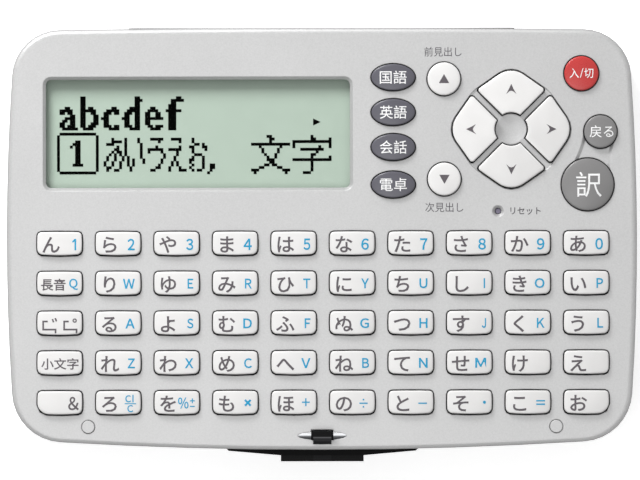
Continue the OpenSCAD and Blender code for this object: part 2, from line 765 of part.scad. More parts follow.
module upper_case() {
    dish_r = bow_radius(pad_hub_r, pad_dish);
    sink_h = reset_sink_r - reset_r;
    color(silver)
        difference() {
            union() {
                difference() {
                    rounded_block(0, hinge_z, face_z, face_round);
                    outline_prism(wall_t, hinge_z - through, under_z);
                }
                hinge_block(hinge_z, under_z + eps);
                for (at = case_screw_at)
                    post(at, case_boss_r, hinge_z, under_z + eps);
                for (at = board_screw_at)
                    post(at, board_boss_r, board_z, under_z + eps);
            }
            key_openings();
            translate([0, 0, under_z - eps])
                linear_extrude(through)
                    translate(lcd_at)
                        lcd_2d(0);
            lcd_bevel_cut();
            translate([0, 0, face_z - pad_recess])
                linear_extrude(through)
                    pad_recess_2d();
            translate([pad_at.x, pad_at.y, face_z - pad_recess - pad_dish + dish_r])
                sphere(r = dish_r);
            waist_cut();
            post(reset_at, reset_r, under_z - eps, face_z + through);
            translate([reset_at.x, reset_at.y, face_z - sink_h])
                cylinder(r1 = reset_r, r2 = reset_sink_r + eps, h = sink_h + eps);
            for (at = stop_at) {
                post(at, stop_r + pin_seat, face_z - face_t / 2, face_z + through);
                translate([at.x, at.y, face_z - stop_groove])
                    cylinder(r1 = stop_r, r2 = stop_r + stop_groove + eps, h = stop_groove + eps);
            }
            translate([0, 0, under_z - eps])
                linear_extrude(through) {
                    translate([0, hook_y])
                        polygon(ellipse(slot_w, slot_d, 24));
                    neck_slot_2d();
                }
            latch_opening();
            bezel_seat_cut(door_gap / 2);
            hinge_pocket(hinge_z - through, hinge_z + knuckle_r + swing_gap);
            hinge_rods(pin_r + pin_seat, notch_w / 2 - eps, notch_w / 2 + pin_out, hinge_z);
            for (at = case_screw_at)
                post(at, case_screw_r, hinge_z - eps, under_z - hole_end);
            for (at = board_screw_at)
                post(at, board_screw_r, board_z - eps, under_z - hole_end);
        }
}

module lower_case() {
    opening_x = [-half_w - through, door_x + door_gap];
    color(silver)
        difference() {
            union() {
                difference() {
                    rounded_block_below(shadow_gap, back_z, hinge_z, back_round);
                    outline_prism(wall_t, floor_z, hinge_z + through);
                }
                hinge_block(floor_z - eps, hinge_z);
                for (at = case_screw_at)
                    post(at, head_boss_r, floor_z - eps, hinge_z);
                for (at = board_post_at)
                    post(at, board_post_r, floor_z - eps, board_low_z);
                battery_bay();
                spring_rib();
            }
            box(opening_x, [cell_y - door_half - door_gap, cell_y + door_half + door_gap],
                [back_z - eps, floor_z + door_gap / 2]);
            box(opening_x, [for (k = [-1, 1]) cell_y + k * (door_half + tongue_out + door_gap)],
                [tongue_z - door_gap, tongue_z + tongue_t + door_gap]);
            latch_opening();
            bezel_seat_cut(door_gap / 2);
            hinge_pocket(back_z - eps, hinge_z + eps);
            hinge_rods(pin_r + pin_seat, notch_w / 2 - eps, notch_w / 2 + pin_out, hinge_z);
            for (at = case_screw_at) {
                post(at, case_screw_r + fit, back_z, hinge_z + eps);
                post(at, case_head_r + fit, back_z - eps, back_z + head_drop + head_t);
            }
            for (at = foot_at)
                post(at, foot_r, back_z - eps, back_z + foot_seat);
        }
}

module battery_bay() {
    difference() {
        box([bay_x[0] - bay_wall, bay_x[1] + bay_wall],
            [cell_y - bay_half - bay_wall, cell_y + bay_half + bay_wall],
            [floor_z - eps, board_low_z - fit]);
        box(bay_x, [cell_y - bay_half, cell_y + bay_half], [floor_z - through, board_low_z]);
    }
}

module spring_rib() {
    box([-hook_w / 2, hook_w / 2], [spring_y + spring_len, spring_y + spring_len + spring_rib_t],
        [floor_z - eps, board_low_z - fit]);
}

module lcd_window() {
    color([0.85, 0.9, 0.88, 0.4])
        translate([lcd_at.x, lcd_at.y, window_z])
            linear_extrude(window_t)
                square([lcd_w + 2 * window_margin, lcd_d + 2 * window_margin], center = true);
}

module lcd_front_glass() {
    color([0.72, 0.79, 0.73, 0.6])
        box(glass_x, [ledge_y, glass_top_y], [glass_z, glass_z + glass_t]);
}

module lcd_rear_glass() {
    color([0.70, 0.77, 0.72, 0.6])
        box(glass_x, [glass_low_y, glass_top_y], [rear_z, glass_z]);
}

module lcd_reflector() {
    color("#b9c9bc")
        box(glass_x, [glass_low_y, glass_top_y], [reflector_z, rear_z]);
}

module zebra_strip() {
    color("#6d6e72")
        box([glass_x[0] + zebra_in, glass_x[1] - zebra_in], [ledge_y + fit, glass_low_y - loose],
            [board_z, glass_z]);
}

module lcd_frame() {
    x = [glass_x[0] - fit, glass_x[1] + fit];
    y = [ledge_y - fit, glass_top_y + fit];
    color("#4a4c50")
        difference() {
            box([x[0] - frame_wall, x[1] + frame_wall], [frame_low_y, y[1] + frame_wall],
                [frame_low_z, window_z]);
            box(x, y, [reflector_z, under_z]);
            translate([lcd_at.x, lcd_at.y, frame_low_z - eps])
                linear_extrude(reflector_z - frame_low_z + 2 * eps)
                    square([lcd_w - zebra_in, lcd_d - zebra_in], center = true);
            box([glass_x[0] + zebra_in - fit, glass_x[1] - zebra_in + fit], [ledge_y, glass_low_y - fit],
                [frame_low_z - eps, reflector_z + eps]);
        }
}

module main_board() {
    color("#2f6b45")
        difference() {
            union() {
                box([-board_x, board_x], [board_bottom_y, board_top_y], [board_low_z, board_z]);
                box([board_right_x, board_x - loose], [board_top_y - eps, block_y - loose],
                    [board_low_z, board_z]);
            }
            for (at = case_screw_at)
                post(at, head_boss_r + loose, board_low_z - eps, board_z + eps);
            for (at = board_screw_at)
                post(at, board_screw_r + fit, board_low_z - eps, board_z + eps);
        }
}

module controller_blob() {
    ball_r = bow_radius(controller_r, controller_t);
    at = [controller_at.x, controller_at.y, board_low_z - controller_t];
    color("#17181a")
        intersection() {
            translate(at)
                cylinder(r = controller_r, h = controller_t, $fn = 120);
            translate(at + [0, 0, ball_r])
                rotate([90, 0, 0])
                    sphere(r = ball_r, $fn = 200);
        }
}

module memory_chip() {
    color("#202124")
        translate([memory_at.x, memory_at.y, board_low_z - memory_t / 2])
            cube([memory_w, memory_w, memory_t], center = true);
}

module crystal() {
    color(steel)
        translate([crystal_at.x, crystal_at.y, board_low_z - crystal_r])
            rotate([0, 90, 0])
                cylinder(r = crystal_r, h = crystal_len);
}

module capacitors() {
    color("#a98a52")
        for (i = [0:capacitor_count - 1])
            translate([capacitor_at.x + capacitor_pitch * i, capacitor_at.y,
                board_low_z - capacitor_size.z])
                cube(capacitor_size);
}

module mat_dome(at) {
    post(at, dome_r, mat_z - eps, mat_z + dome_h);
}

module keypad_mat_main() {
    side = board_x - loose;
    color("#56575b") {
        box([-side, side], [board_bottom_y, row_y[0] + key_d / 2 + lip_out], [board_z, mat_z]);
        for (x = column_x, y = row_y)
            mat_dome([x, y]);
    }
}

// Middles of the arrow keys' stems
arrow_at = [for (q = [0:3]) pad_at + (pad_reach + pad_hub_r) / 2 * [-sin(quarter * q), cos(quarter * q)]];

module keypad_mat_side() {
    x = [mode_x - mode_w / 2, back_at.x + dome_r + loose];
    y = [enter_at.y - dome_r - loose, block_y - loose];
    color("#56575b")
        difference() {
            union() {
                box(x, y, [board_z, mat_z]);
                for (i = [0:3])
                    mat_dome([mode_x, mode_y[i]]);
                for (at = arrow_at)
                    mat_dome(at);
                for (at = [page_up_at, page_down_at, power_at, back_at, enter_at])
                    mat_dome(at);
            }
            for (at = concat(board_screw_at, case_screw_at))
                post(at, head_boss_r + loose, board_z - eps, mat_z + eps);
        }
}

module key_column(i) {
    color(pale_key)
        for (j = [0:key_rows - 1])
            key_solid([column_x[i], row_y[j]], key_rise, key_dome_r) {
                small_key_2d(i, j, key_gap);
                small_key_2d(i, j, -lip_out);
                translate([column_x[i], row_y[j]])
                    square([key_w - 2 * stem_in, key_d - 2 * stem_in], center = true);
            }
}

module mode_key(i) {
    color(grey_key)
        key_solid([mode_x, mode_y[i]], round_rise, round_dome_r) {
            mode_2d(i, key_gap);
            mode_2d(i, -lip_out);
            mode_2d(i, stem_in);
        }
}

module round_key(at, r, shade) {
    color(shade)
        key_solid(at, round_rise, round_dome_r) {
            round_2d(at, r, key_gap);
            round_2d(at, r, -lip_out);
            round_2d(at, r, stem_in);
        }
}

module arrow_key(q) {
    color(pale_key)
        key_solid(pad_at, pad_rise, pad_dome_r) {
            arrow_2d(quarter * q, key_gap);
            arrow_2d(quarter * q, -lip_out);
            translate(arrow_at[q])
                circle(r = dome_r);
        }
}

module reset_plunger() {
    rod_r = reset_r - fit;
    color("#8d8896") {
        post(reset_at, rod_r, board_z + reset_travel, face_z - reset_drop);
        post(reset_at, rod_r + lip_out, lip_z, lip_z + lip_t);
    }
}

module stop_pads() {
    color(steel)
        for (at = stop_at)
            post(at, stop_r, face_z - face_t / 2, face_z + stop_rise);
}

module latch_plate() {
    flange_t = face_t * 0.4;
    flange_x = (slot_w + slot_d) / 2;
    dish_drop = face_t * 0.3;
    color(steel)
        difference() {
            union() {
                box([-flange_x, flange_x], [hook_y - slot_d / 2 + fit, head_back_y + latch_travel + fit],
                    [under_z - flange_t, under_z]);
                translate([0, hook_y, under_z - eps])
                    linear_extrude(face_t - fit)
                        polygon(ellipse(slot_w - fit, slot_d - fit, 24));
            }
            translate([-slot_w, hook_y, face_z - dish_drop + slot_d])
                rotate([0, 90, 0])
                    cylinder(r = slot_d, h = 2 * slot_w);
            translate([0, 0, under_z - flange_t - eps])
                linear_extrude(through)
                    neck_slot_2d();
        }
}

module latch() {
    tab_x = tab_w / 2;
    shoulder = latch_gap + face_t * 0.7;
    shoulder_y = wall_t + loose - half_d;
    tab_z = [hinge_z - tab_h / 2, hinge_z + tab_h / 2];
    scoop_r = tab_h * 3;
    scoop_depth = latch_gap * 1.5;
    neck_x = [-hook_w / 2, hook_w / 2];
    barb_low_z = face_z + barb_z;
    color(black) {
        difference() {
            box([-tab_x, tab_x], [tab_front_y, neck_back_y], tab_z);
            translate([-tab_x - eps, tab_front_y - scoop_r + scoop_depth, hinge_z])
                rotate([0, 90, 0])
                    cylinder(r = scoop_r, h = tab_w + 2 * eps);
        }
        box([-tab_x - shoulder, tab_x + shoulder], [shoulder_y, neck_back_y], tab_z);
        box(neck_x, [shoulder_y, neck_back_y], [floor_z + loose, hinge_z]);
        box(neck_x, [neck_front_y, neck_back_y], [hinge_z, head_z]);
        box(neck_x, [neck_front_y, head_back_y], [face_z + latch_gap, head_z]);
        translate([-barb_w / 2, 0, 0])
            rotate([90, 0, 90])
                linear_extrude(barb_w)
                    polygon([[neck_front_y + eps, barb_low_z], [neck_front_y - barb_out, barb_low_z],
                        [neck_front_y - barb_out, barb_low_z + barb_t / 2],
                        [neck_front_y - barb_out / 3, head_z], [neck_front_y + eps, head_z]]);
    }
}

module latch_bezel() {
    x = bezel_w / 2;
    tip_y = -half_d + x * x * front_bow / (half_w * half_w);
    out_y = -half_d - bezel_out;
    hole_x = tab_w / 2 + latch_gap;
    hole_z = tab_h / 2 + latch_gap;
    color(black)
        difference() {
            translate([0, 0, hinge_z - bezel_h / 2])
                linear_extrude(bezel_h)
                    polygon([[-x, tip_y], [bezel_blunt - x, tip_y - bezel_blunt], [-hole_x, out_y],
                        [hole_x, out_y], [x - bezel_blunt, tip_y - bezel_blunt], [x, tip_y],
                        [x, hook_y], [-x, hook_y]]);
            outline_prism(bezel_seat, hinge_z - bezel_h, hinge_z + bezel_h);
            box([-hole_x, hole_x], [-half_d - through, hook_y], [hinge_z - hole_z, hinge_z + hole_z]);
        }
}

// Ring of six points about a point of the spring's helix, square to its run
function helix_ring(a, r, pitch) =
    let (c = [r * cos(a), pitch * a / 360, r * sin(a)])
    let (t = unit([-r * sin(a), pitch / (2 * PI), r * cos(a)]))
    let (n = [cos(a), 0, sin(a)], b = cross(t, n))
    [for (k = [0:5]) c + wire_r * (n * cos(60 * k) + b * sin(60 * k))];

module latch_spring() {
    rings_a_turn = 8;
    count = spring_turns * rings_a_turn;
    r = spring_r - wire_r;
    pitch = (spring_len - 2 * wire_r) / spring_turns;
    points = [for (i = [0:count]) each helix_ring(360 * i / rings_a_turn, r, pitch)];
    sides = [for (i = [0:count - 1], k = [0:5])
        each let (a = 6 * i + k, b = 6 * i + (k + 1) % 6)
            [[a, b, b + 6], [a, b + 6, a + 6]]];
    ends = [for (k = [1:4]) each [[0, k + 1, k], [6 * count, 6 * count + k, 6 * count + k + 1]]];
    color(steel)
        translate([0, spring_y + wire_r, spring_z])
            polyhedron(points = points, faces = concat(sides, ends));
}

module coin_cells() {
    color(steel)
        for (x = cell_x)
            post([x, cell_y], cell_r, floor_z, cell_top_z);
}

// A leaf under the display frame with a finger that presses on each cell
module battery_springs() {
    leaf_w = cell_r;
    y0 = cell_y - cell_r + contact_t;
    leaf_y = y0 + cell_r * 0.4;
    finger_y = y0 + cell_r * 0.3;
    color("#d0b060")
        for (x = cell_x) {
            box([x - leaf_w / 2, x + leaf_w / 2], [y0, leaf_y], [frame_low_z - contact_t, frame_low_z]);
            box([x - leaf_w / 4, x + leaf_w / 4], [finger_y, leaf_y],
                [cell_top_z, frame_low_z - contact_t + eps]);
        }
}

// A clip against the bay's wall, with a nose that reaches the cell's edge
module battery_clips() {
    clip_w = cell_r * 0.6;
    wall_y = cell_y - bay_half;
    reach = bay_gap - fit / 4;
    nose_r = reach * 0.45;
    color("#d0b060")
        for (x = cell_x) {
            box([x - clip_w / 2, x + clip_w / 2], [wall_y, wall_y + contact_t],
                [floor_z + loose, board_low_z]);
            post([x, wall_y + reach - nose_r], nose_r, floor_z + loose, cell_top_z - loose);
        }
}

module battery_door() {
    color(silver)
        intersection() {
            rounded_block_below(shadow_gap, back_z, hinge_z, back_round);
            union() {
                box([-half_w, door_x], [cell_y - door_half, cell_y + door_half], [back_z, floor_z]);
                box([-half_w, door_x], [cell_y - door_half - tongue_out, cell_y + door_half + tongue_out],
                    [tongue_z, tongue_z + tongue_t]);
            }
        }
}

// A cross for a screwdriver, cut into a screw's head
module cross_cut(at, r, z) {
    for (turn = [0, 90])
        translate([at.x, at.y, z])
            rotate(turn)
                cube([r, r / 5, head_t], center = true);
}

module case_screws() {
    low_z = back_z + head_drop;
    color(steel)
        for (at = case_screw_at) {
            difference() {
                post(at, case_head_r, low_z, low_z + head_t);
                cross_cut(at, case_head_r, low_z);
            }
            post(at, case_screw_r, low_z + head_t - eps, under_z - hole_end - loose);
        }
}

module board_screws() {
    low_z = board_low_z - head_t * 0.7;
    color(steel)
        for (at = board_screw_at) {
            difference() {
                post(at, board_head_r, low_z, board_low_z);
                cross_cut(at, board_head_r, low_z - head_t / 4);
            }
            post(at, board_screw_r, board_low_z - eps, under_z - hole_end - loose);
        }
}

module rubber_feet() {
    color("#2a2a2c")
        for (at = foot_at)
            post(at, foot_r, back_z - foot_out, back_z + foot_seat);
}

module hinge_link() {
    half = link_w / 2;
    color(black)
        difference() {
            union() {
                for (z = [hinge_z, lid_axis_z]) {
                    translate([-half, hinge_y, z])
                        rotate([0, 90, 0])
                            cylinder(r = knuckle_r, h = link_w);
                    box([-half, half], [hinge_y - spine_in - eps, hinge_y], [z - root_h, z + root_h]);
                }
                box([-half, half], [hinge_y - spine_in - spine_t, hinge_y - spine_in],
                    [lid_axis_z - root_h, hinge_z + root_h]);
            }
            for (z = [hinge_z, lid_axis_z])
                hinge_rods(pin_r + pin_fit, half - pin_in - loose, half + eps, z);
        }
}

module hinge_pins(z) {
    color(steel)
        hinge_rods(pin_r, link_w / 2 - pin_in, notch_w / 2 + pin_out - pin_fit, z);
}

module case_hinge_pins() {
    hinge_pins(hinge_z);
}

module lid_hinge_pins() {
    hinge_pins(lid_axis_z);
}

module lid() {
    inside_z = lid_t - lid_plate_t;
    catch_z = barb_z - close_gap - latch_gap;
    catch_x = barb_w / 2 + hole_end;
    relief_y = neck_front_y - barb_out - loose * 1.5;
    catch_y = neck_front_y - loose;
    color(silver)
        difference() {
            union() {
                difference() {
                    rounded_block(0, 0, lid_t, lid_round);
                    outline_prism(lid_wall_t, -eps, inside_z);
                }
                intersection() {
                    union() {
                        box([-block_x, block_x], [block_y, half_d], [0, inside_z + eps]);
                        box([-catch_x, catch_x], [-half_d, catch_y], [0, catch_z]);
                    }
                    outline_prism(lid_wall_t / 2, 0, lid_t);
                }
                for (at = stop_at)
                    post(at, stop_r, stop_rise - close_gap + fit / 4, inside_z + eps);
            }
            hinge_pocket(-eps, lid_t + eps);
            hinge_rods(pin_r + pin_seat, notch_w / 2 - eps, notch_w / 2 + pin_out, lid_axis_z);
            box([-catch_x, catch_x], [relief_y, catch_y + eps], [catch_z, inside_z]);
            difference() {
                box([-half_w, half_w], [hinge_y, half_d + through], [-eps, lid_axis_z]);
                translate([-half_w - eps, hinge_y, lid_axis_z])
                    rotate([0, 90, 0])
                        cylinder(r = lid_axis_z, h = case_w + 2 * eps);
            }
        }
}

placed() upper_case();
placed() lower_case();
placed() lcd_window();
placed() lcd_front_glass();
placed() lcd_rear_glass();
placed() lcd_reflector();
placed() lcd_frame();
placed() zebra_strip();
placed() main_board();
placed() controller_blob();
placed() memory_chip();
placed() crystal();
placed() capacitors();
placed() keypad_mat_main();
placed() keypad_mat_side();
for (i = [0:key_cols - 1])
    placed() key_column(i);
for (i = [0:3])
    placed() mode_key(i);
placed() round_key(page_up_at, page_r, pale_key);  // page_up_key
placed() round_key(page_down_at, page_r, pale_key);  // page_down_key
placed() arrow_key(0);  // up_key
placed() arrow_key(1);  // left_key
placed() arrow_key(2);  // down_key
placed() arrow_key(3);  // right_key
placed() round_key(power_at, power_r, red_key);  // power_key
placed() round_key(back_at, back_r, light_grey_key);  // back_key
placed() round_key(enter_at, enter_r, light_grey_key);  // enter_key
placed() reset_plunger();
placed() stop_pads();
placed() latch_plate();
placed() latch();
placed() latch_bezel();
placed() latch_spring();
placed() coin_cells();
placed() battery_springs();
placed() battery_clips();
placed() battery_door();
placed() case_screws();
placed() board_screws();
placed() rubber_feet();
placed() hinge_link();
placed() case_hinge_pins();
placed() lid_hinge_pins();
placed() lid();
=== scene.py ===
# %% [markdown]
# A pocket electronic dictionary, seen straight from above with its lid folded right round
# behind it. The construction model gives every solid piece at its true size. This lesson
# dresses it: it loads that model as a fixed frame, gives each piece the finish of its real
# material, builds the moulded key caps with their rounded edges, prints the legends on them
# and lights the dots of the display.

# %% Load the frame
import math

import bmesh
import bpy
from mathutils import Matrix, Vector
from mathutils.bvhtree import BVHTree


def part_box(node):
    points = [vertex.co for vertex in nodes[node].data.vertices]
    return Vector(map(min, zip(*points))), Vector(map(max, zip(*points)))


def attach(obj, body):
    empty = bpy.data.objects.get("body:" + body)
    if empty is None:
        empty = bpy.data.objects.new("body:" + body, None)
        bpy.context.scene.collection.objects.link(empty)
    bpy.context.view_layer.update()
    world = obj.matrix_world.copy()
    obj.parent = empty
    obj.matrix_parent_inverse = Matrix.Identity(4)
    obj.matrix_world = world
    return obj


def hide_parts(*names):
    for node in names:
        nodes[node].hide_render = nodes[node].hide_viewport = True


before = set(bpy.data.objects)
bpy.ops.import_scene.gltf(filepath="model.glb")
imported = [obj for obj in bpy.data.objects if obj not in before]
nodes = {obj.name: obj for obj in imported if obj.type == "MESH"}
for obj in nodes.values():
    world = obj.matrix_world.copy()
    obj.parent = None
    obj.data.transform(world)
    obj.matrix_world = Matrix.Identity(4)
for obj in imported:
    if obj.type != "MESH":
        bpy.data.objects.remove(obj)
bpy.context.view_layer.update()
scene = bpy.context.scene

# %% [markdown]
# All sizes below are millimetres on the real object. Blender works in metres, so one factor
# turns them. The plan is measured from the middle of the case, and the frame's origin lies a
# little in front of it because the latch tab sticks out, so every plan place is shifted once.

# %% Sizes and planes
MM = 0.001
SHIFT_Y = 1.05
CASE_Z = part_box("upper_case")[1].z / MM
BACK_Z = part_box("lower_case")[0].z / MM


def place(x, y, z):
    return Vector((x * MM, (y + SHIFT_Y) * MM, z * MM))


print("face plane at", round(CASE_Z, 3), "mm, back plane at", round(BACK_Z, 3), "mm")

# %% [markdown]
# Colours are written as sRGB hex values, as a colour picker shows them, and Blender's shaders
# want linear light. One function turns them. A second small function adds a node, sets its
# inputs and makes its links, so that each material below reads as a short recipe. An input is
# given by its name, or by its number after an underscore where several share a name.


# %% Colour and node helpers
def linear(hex_code):
    parts = [int(hex_code[i : i + 2], 16) / 255 for i in (1, 3, 5)]
    turned = [c / 12.92 if c <= 0.04045 else ((c + 0.055) / 1.055) ** 2.4 for c in parts]
    return (*turned, 1.0)


def add(tree, kind, settings=None, **inputs):
    node = tree.nodes.new(kind)
    for name, value in (settings or {}).items():
        setattr(node, name, value)
    for name, value in inputs.items():
        socket = node.inputs[int(name[1:]) if name[0] == "_" else name.replace("_", " ")]
        if isinstance(value, bpy.types.NodeSocket):
            tree.links.new(value, socket)
        else:
            socket.default_value = value
    return node


def start_material(name):
    material = bpy.data.materials.new(name)
    material.use_nodes = True
    tree = material.node_tree
    tree.nodes.clear()
    shader = tree.nodes.new("ShaderNodeBsdfPrincipled")
    out = tree.nodes.new("ShaderNodeOutputMaterial")
    tree.links.new(shader.outputs["BSDF"], out.inputs["Surface"])
    place_node = tree.nodes.new("ShaderNodeTexCoord")
    return material, tree, shader, place_node.outputs["Object"]


print("helpers ready")

# %% [markdown]
# The photograph was taken straight down from far away, so there is almost no perspective. A
# long lens high above the case gives the same view. The scale follows from the case: 640
# picture points cover 111.8 mm on the face plane. The middle of the case lies 1.9 points
# right of the picture's middle and 1.2 points above it.

# %% Camera
PHOTO_W, PHOTO_H = 640, 480
PX_PER_MM = 5.723
CASE_PX, CASE_PY = 321.9, 238.8
VIEW_W = PHOTO_W / PX_PER_MM
CAMERA_H, SENSOR_W = 1100.0, 36.0
camera_data = bpy.data.cameras.new("camera")
camera_data.sensor_width = SENSOR_W
camera_data.lens = SENSOR_W * CAMERA_H / VIEW_W
camera_data.clip_start, camera_data.clip_end = 0.05, 10.0
camera = bpy.data.objects.new("camera", camera_data)
camera.location = place((PHOTO_W / 2 - CASE_PX) / PX_PER_MM, (CASE_PY - PHOTO_H / 2) / PX_PER_MM,
                        CASE_Z + CAMERA_H)
camera.rotation_euler = (0, 0, math.radians(-0.1))
scene.collection.objects.link(camera)
scene.camera = camera
print("lens", round(camera_data.lens), "mm")

# %% [markdown]
# A product picture like this one is lit by large soft boxes. A wide one stands high behind the
# case and a little to its left, so that the face runs from light at the upper left to a
# deeper grey at the right. A weak one on the other side keeps the lower edges readable. The
# room does the rest: it is bright on the side of the window, behind the case and to its left,
# and dark on the other side, so the edges that face the window shine and the others fall
# away. The camera, mirrors and clear plastic see plain white. The table is white paper.


# %% Lamps, surroundings and table
def soft_box(name, at, size, power):
    """A round lamp at a place in metres, size across in metres and power in watts."""
    lamp = bpy.data.lights.new(name, "AREA")
    lamp.shape = "DISK"
    lamp.size = size
    lamp.energy = power
    obj = bpy.data.objects.new(name, lamp)
    obj.location = at
    obj.rotation_euler = (-Vector(at)).to_track_quat("-Z", "Y").to_euler()
    scene.collection.objects.link(obj)
    return obj


soft_box("main_soft_box", (-0.16, 0.30, 0.22), 0.16, 1.5)
soft_box("fill_soft_box", (-0.05, -0.14, 0.50), 0.30, 0.45)
# the way to the window, and the room's light opposite it and on its side
WINDOW_SIDE, ROOM_LOW, ROOM_HIGH = (-0.35, 0.92, 0.18), 0.0, 0.75
PAPER_LIFT, PAPER_Z, PAPER_W = 0.6, -0.0001, 6

world = bpy.data.worlds.new("white_surroundings")
scene.world = world
world.use_nodes = True
sky = world.node_tree
sky.nodes.clear()
path = add(sky, "ShaderNodeLightPath")
direct = add(sky, "ShaderNodeMath", {"operation": "MAXIMUM"}, _0=path.outputs["Is Camera Ray"],
             _1=path.outputs["Is Glossy Ray"])
seen = add(sky, "ShaderNodeMath", {"operation": "MAXIMUM"}, _0=direct.outputs[0],
           _1=path.outputs["Is Transmission Ray"])
way = add(sky, "ShaderNodeTexCoord")
towards = add(sky, "ShaderNodeVectorMath", {"operation": "DOT_PRODUCT"},
              _0=way.outputs["Generated"], _1=WINDOW_SIDE)
room = add(sky, "ShaderNodeMapRange", None, Value=towards.outputs["Value"], From_Min=-1.0,
           To_Min=ROOM_LOW, To_Max=ROOM_HIGH)
level = add(sky, "ShaderNodeMapRange", None, Value=seen.outputs[0], To_Min=room.outputs[0],
            To_Max=1.0)
glow = add(sky, "ShaderNodeBackground", None, Color=(1, 1, 1, 1), Strength=level.outputs[0])
add(sky, "ShaderNodeOutputWorld", None, Surface=glow.outputs[0])

# uncoated paper: dull and even, and lifted to white where the camera or a mirror sees it
paper, tree, shader, where = start_material("white_paper_table")
shader.inputs["Base Color"].default_value = linear("#F4F4F4")
shader.inputs["Roughness"].default_value = 0.8
path = add(tree, "ShaderNodeLightPath")
seen = add(tree, "ShaderNodeMath", {"operation": "MAXIMUM"}, _0=path.outputs["Is Camera Ray"],
           _1=path.outputs["Is Glossy Ray"])
lift = add(tree, "ShaderNodeMath", {"operation": "MULTIPLY"}, _0=seen.outputs[0],
           _1=PAPER_LIFT)
tree.links.new(lift.outputs[0], shader.inputs["Emission Strength"])
shader.inputs["Emission Color"].default_value = (1, 1, 1, 1)
bpy.ops.mesh.primitive_plane_add(size=PAPER_W, location=(0, 0, PAPER_Z))
table = bpy.context.object
table.name = "table_top"
table.data.materials.append(paper)
print("lamps, surroundings and table are set")

# %% [markdown]
# The case and the lid are moulded plastic sprayed with a silver paint. Small flakes of
# aluminium in the lacquer give it a soft sheen and a fine grain, and the sprayed film rounds
# every edge. The grain is a fine noise, drawn at 0.25 mm so that it shows at all, where the
# real flakes are about 0.03 mm. Flakes lie flat in the film, so such a paint is light where it
# is seen straight on and darkens where it turns away: painters call that the flop, and Layer
# Weight's Facing output drives it. The film's rounding comes from the Bevel shader node,
# which turns the normals near an edge without changing the mesh.


# %% Silver paint
FLAKE_MM = 0.25
CLOUD_SCALE = 60.0  # slow waves in the sprayed film, about 17 mm long
DARKEST_FLOP = 0.15


def silver_paint(name, colour, edge):
    material, tree, shader, where = start_material(name)
    flakes = add(tree, "ShaderNodeTexNoise", None, Vector=where, Scale=1 / (FLAKE_MM * MM),
                 Detail=2.0)
    cloud = add(tree, "ShaderNodeTexNoise", None, Vector=where, Scale=CLOUD_SCALE,
                Detail=3.0)
    both = add(tree, "ShaderNodeMix", {"data_type": "FLOAT"}, _0=0.25, _2=flakes.outputs[0],
               _3=cloud.outputs[0])
    tone = add(tree, "ShaderNodeMapRange", None, Value=both.outputs[0], From_Min=0.3, From_Max=0.7,
               To_Min=0.93, To_Max=1.07)
    aside = add(tree, "ShaderNodeLayerWeight", None, Blend=0.5)
    flop = add(tree, "ShaderNodeMapRange", None, Value=aside.outputs["Facing"], From_Min=0.25,
               From_Max=0.8, To_Min=1.0, To_Max=DARKEST_FLOP)
    lightness = add(tree, "ShaderNodeMath", {"operation": "MULTIPLY"}, _0=tone.outputs[0],
                    _1=flop.outputs[0])
    tint = add(tree, "ShaderNodeVectorMath", {"operation": "SCALE"}, _0=linear(colour)[:3],
               Scale=lightness.outputs[0])
    rough = add(tree, "ShaderNodeMapRange", None, Value=flakes.outputs[0], From_Min=0.3,
                From_Max=0.7, To_Min=0.40, To_Max=0.5)
    edges = add(tree, "ShaderNodeBevel", {"samples": 6}, Radius=edge * MM)
    grain = add(tree, "ShaderNodeBump", None, Strength=0.12, Distance=0.00004,
                Height=flakes.outputs[0], Normal=edges.outputs[0])
    tree.links.new(tint.outputs[0], shader.inputs["Base Color"])
    tree.links.new(rough.outputs[0], shader.inputs["Roughness"])
    tree.links.new(grain.outputs[0], shader.inputs["Normal"])
    shader.inputs["Metallic"].default_value = 0.45
    shader.inputs["Coat Weight"].default_value = 0.15
    shader.inputs["Coat Roughness"].default_value = 0.25
    return material


def dress(material, *names):
    for name in names:
        nodes[name].data.materials.clear()
        nodes[name].data.materials.append(material)


case_paint = silver_paint("silver_lacquer_case", "#BBBBBB", 0.22)
lid_paint = silver_paint("silver_lacquer_lid", "#BCBCBC", 0.3)
dress(case_paint, "upper_case", "lower_case", "battery_door", "stop_pads")
dress(lid_paint, "lid")
print("painted", len(case_paint.node_tree.nodes), "nodes in the paint")

# %% [markdown]
# The key caps, the latch and the frame are moulded ABS and similar plastics. A mould leaves a
# faint texture and the colour wanders very slightly through the piece. One recipe serves
# them all, and each call names the real piece that it is for. Rubber, resin and the board
# differ in roughness and in the size of their texture. On the hook of the latch, a colour ramp
# along the hook paints a highlight into the base colour: a lighter grey front and a thin pale
# line on the sloped lip, where the lamp would catch it.


# %% Moulded plastics, rubber and resin
DRIFT_SCALE = 300.0  # the colour's slow drift through a piece, about 3 mm long


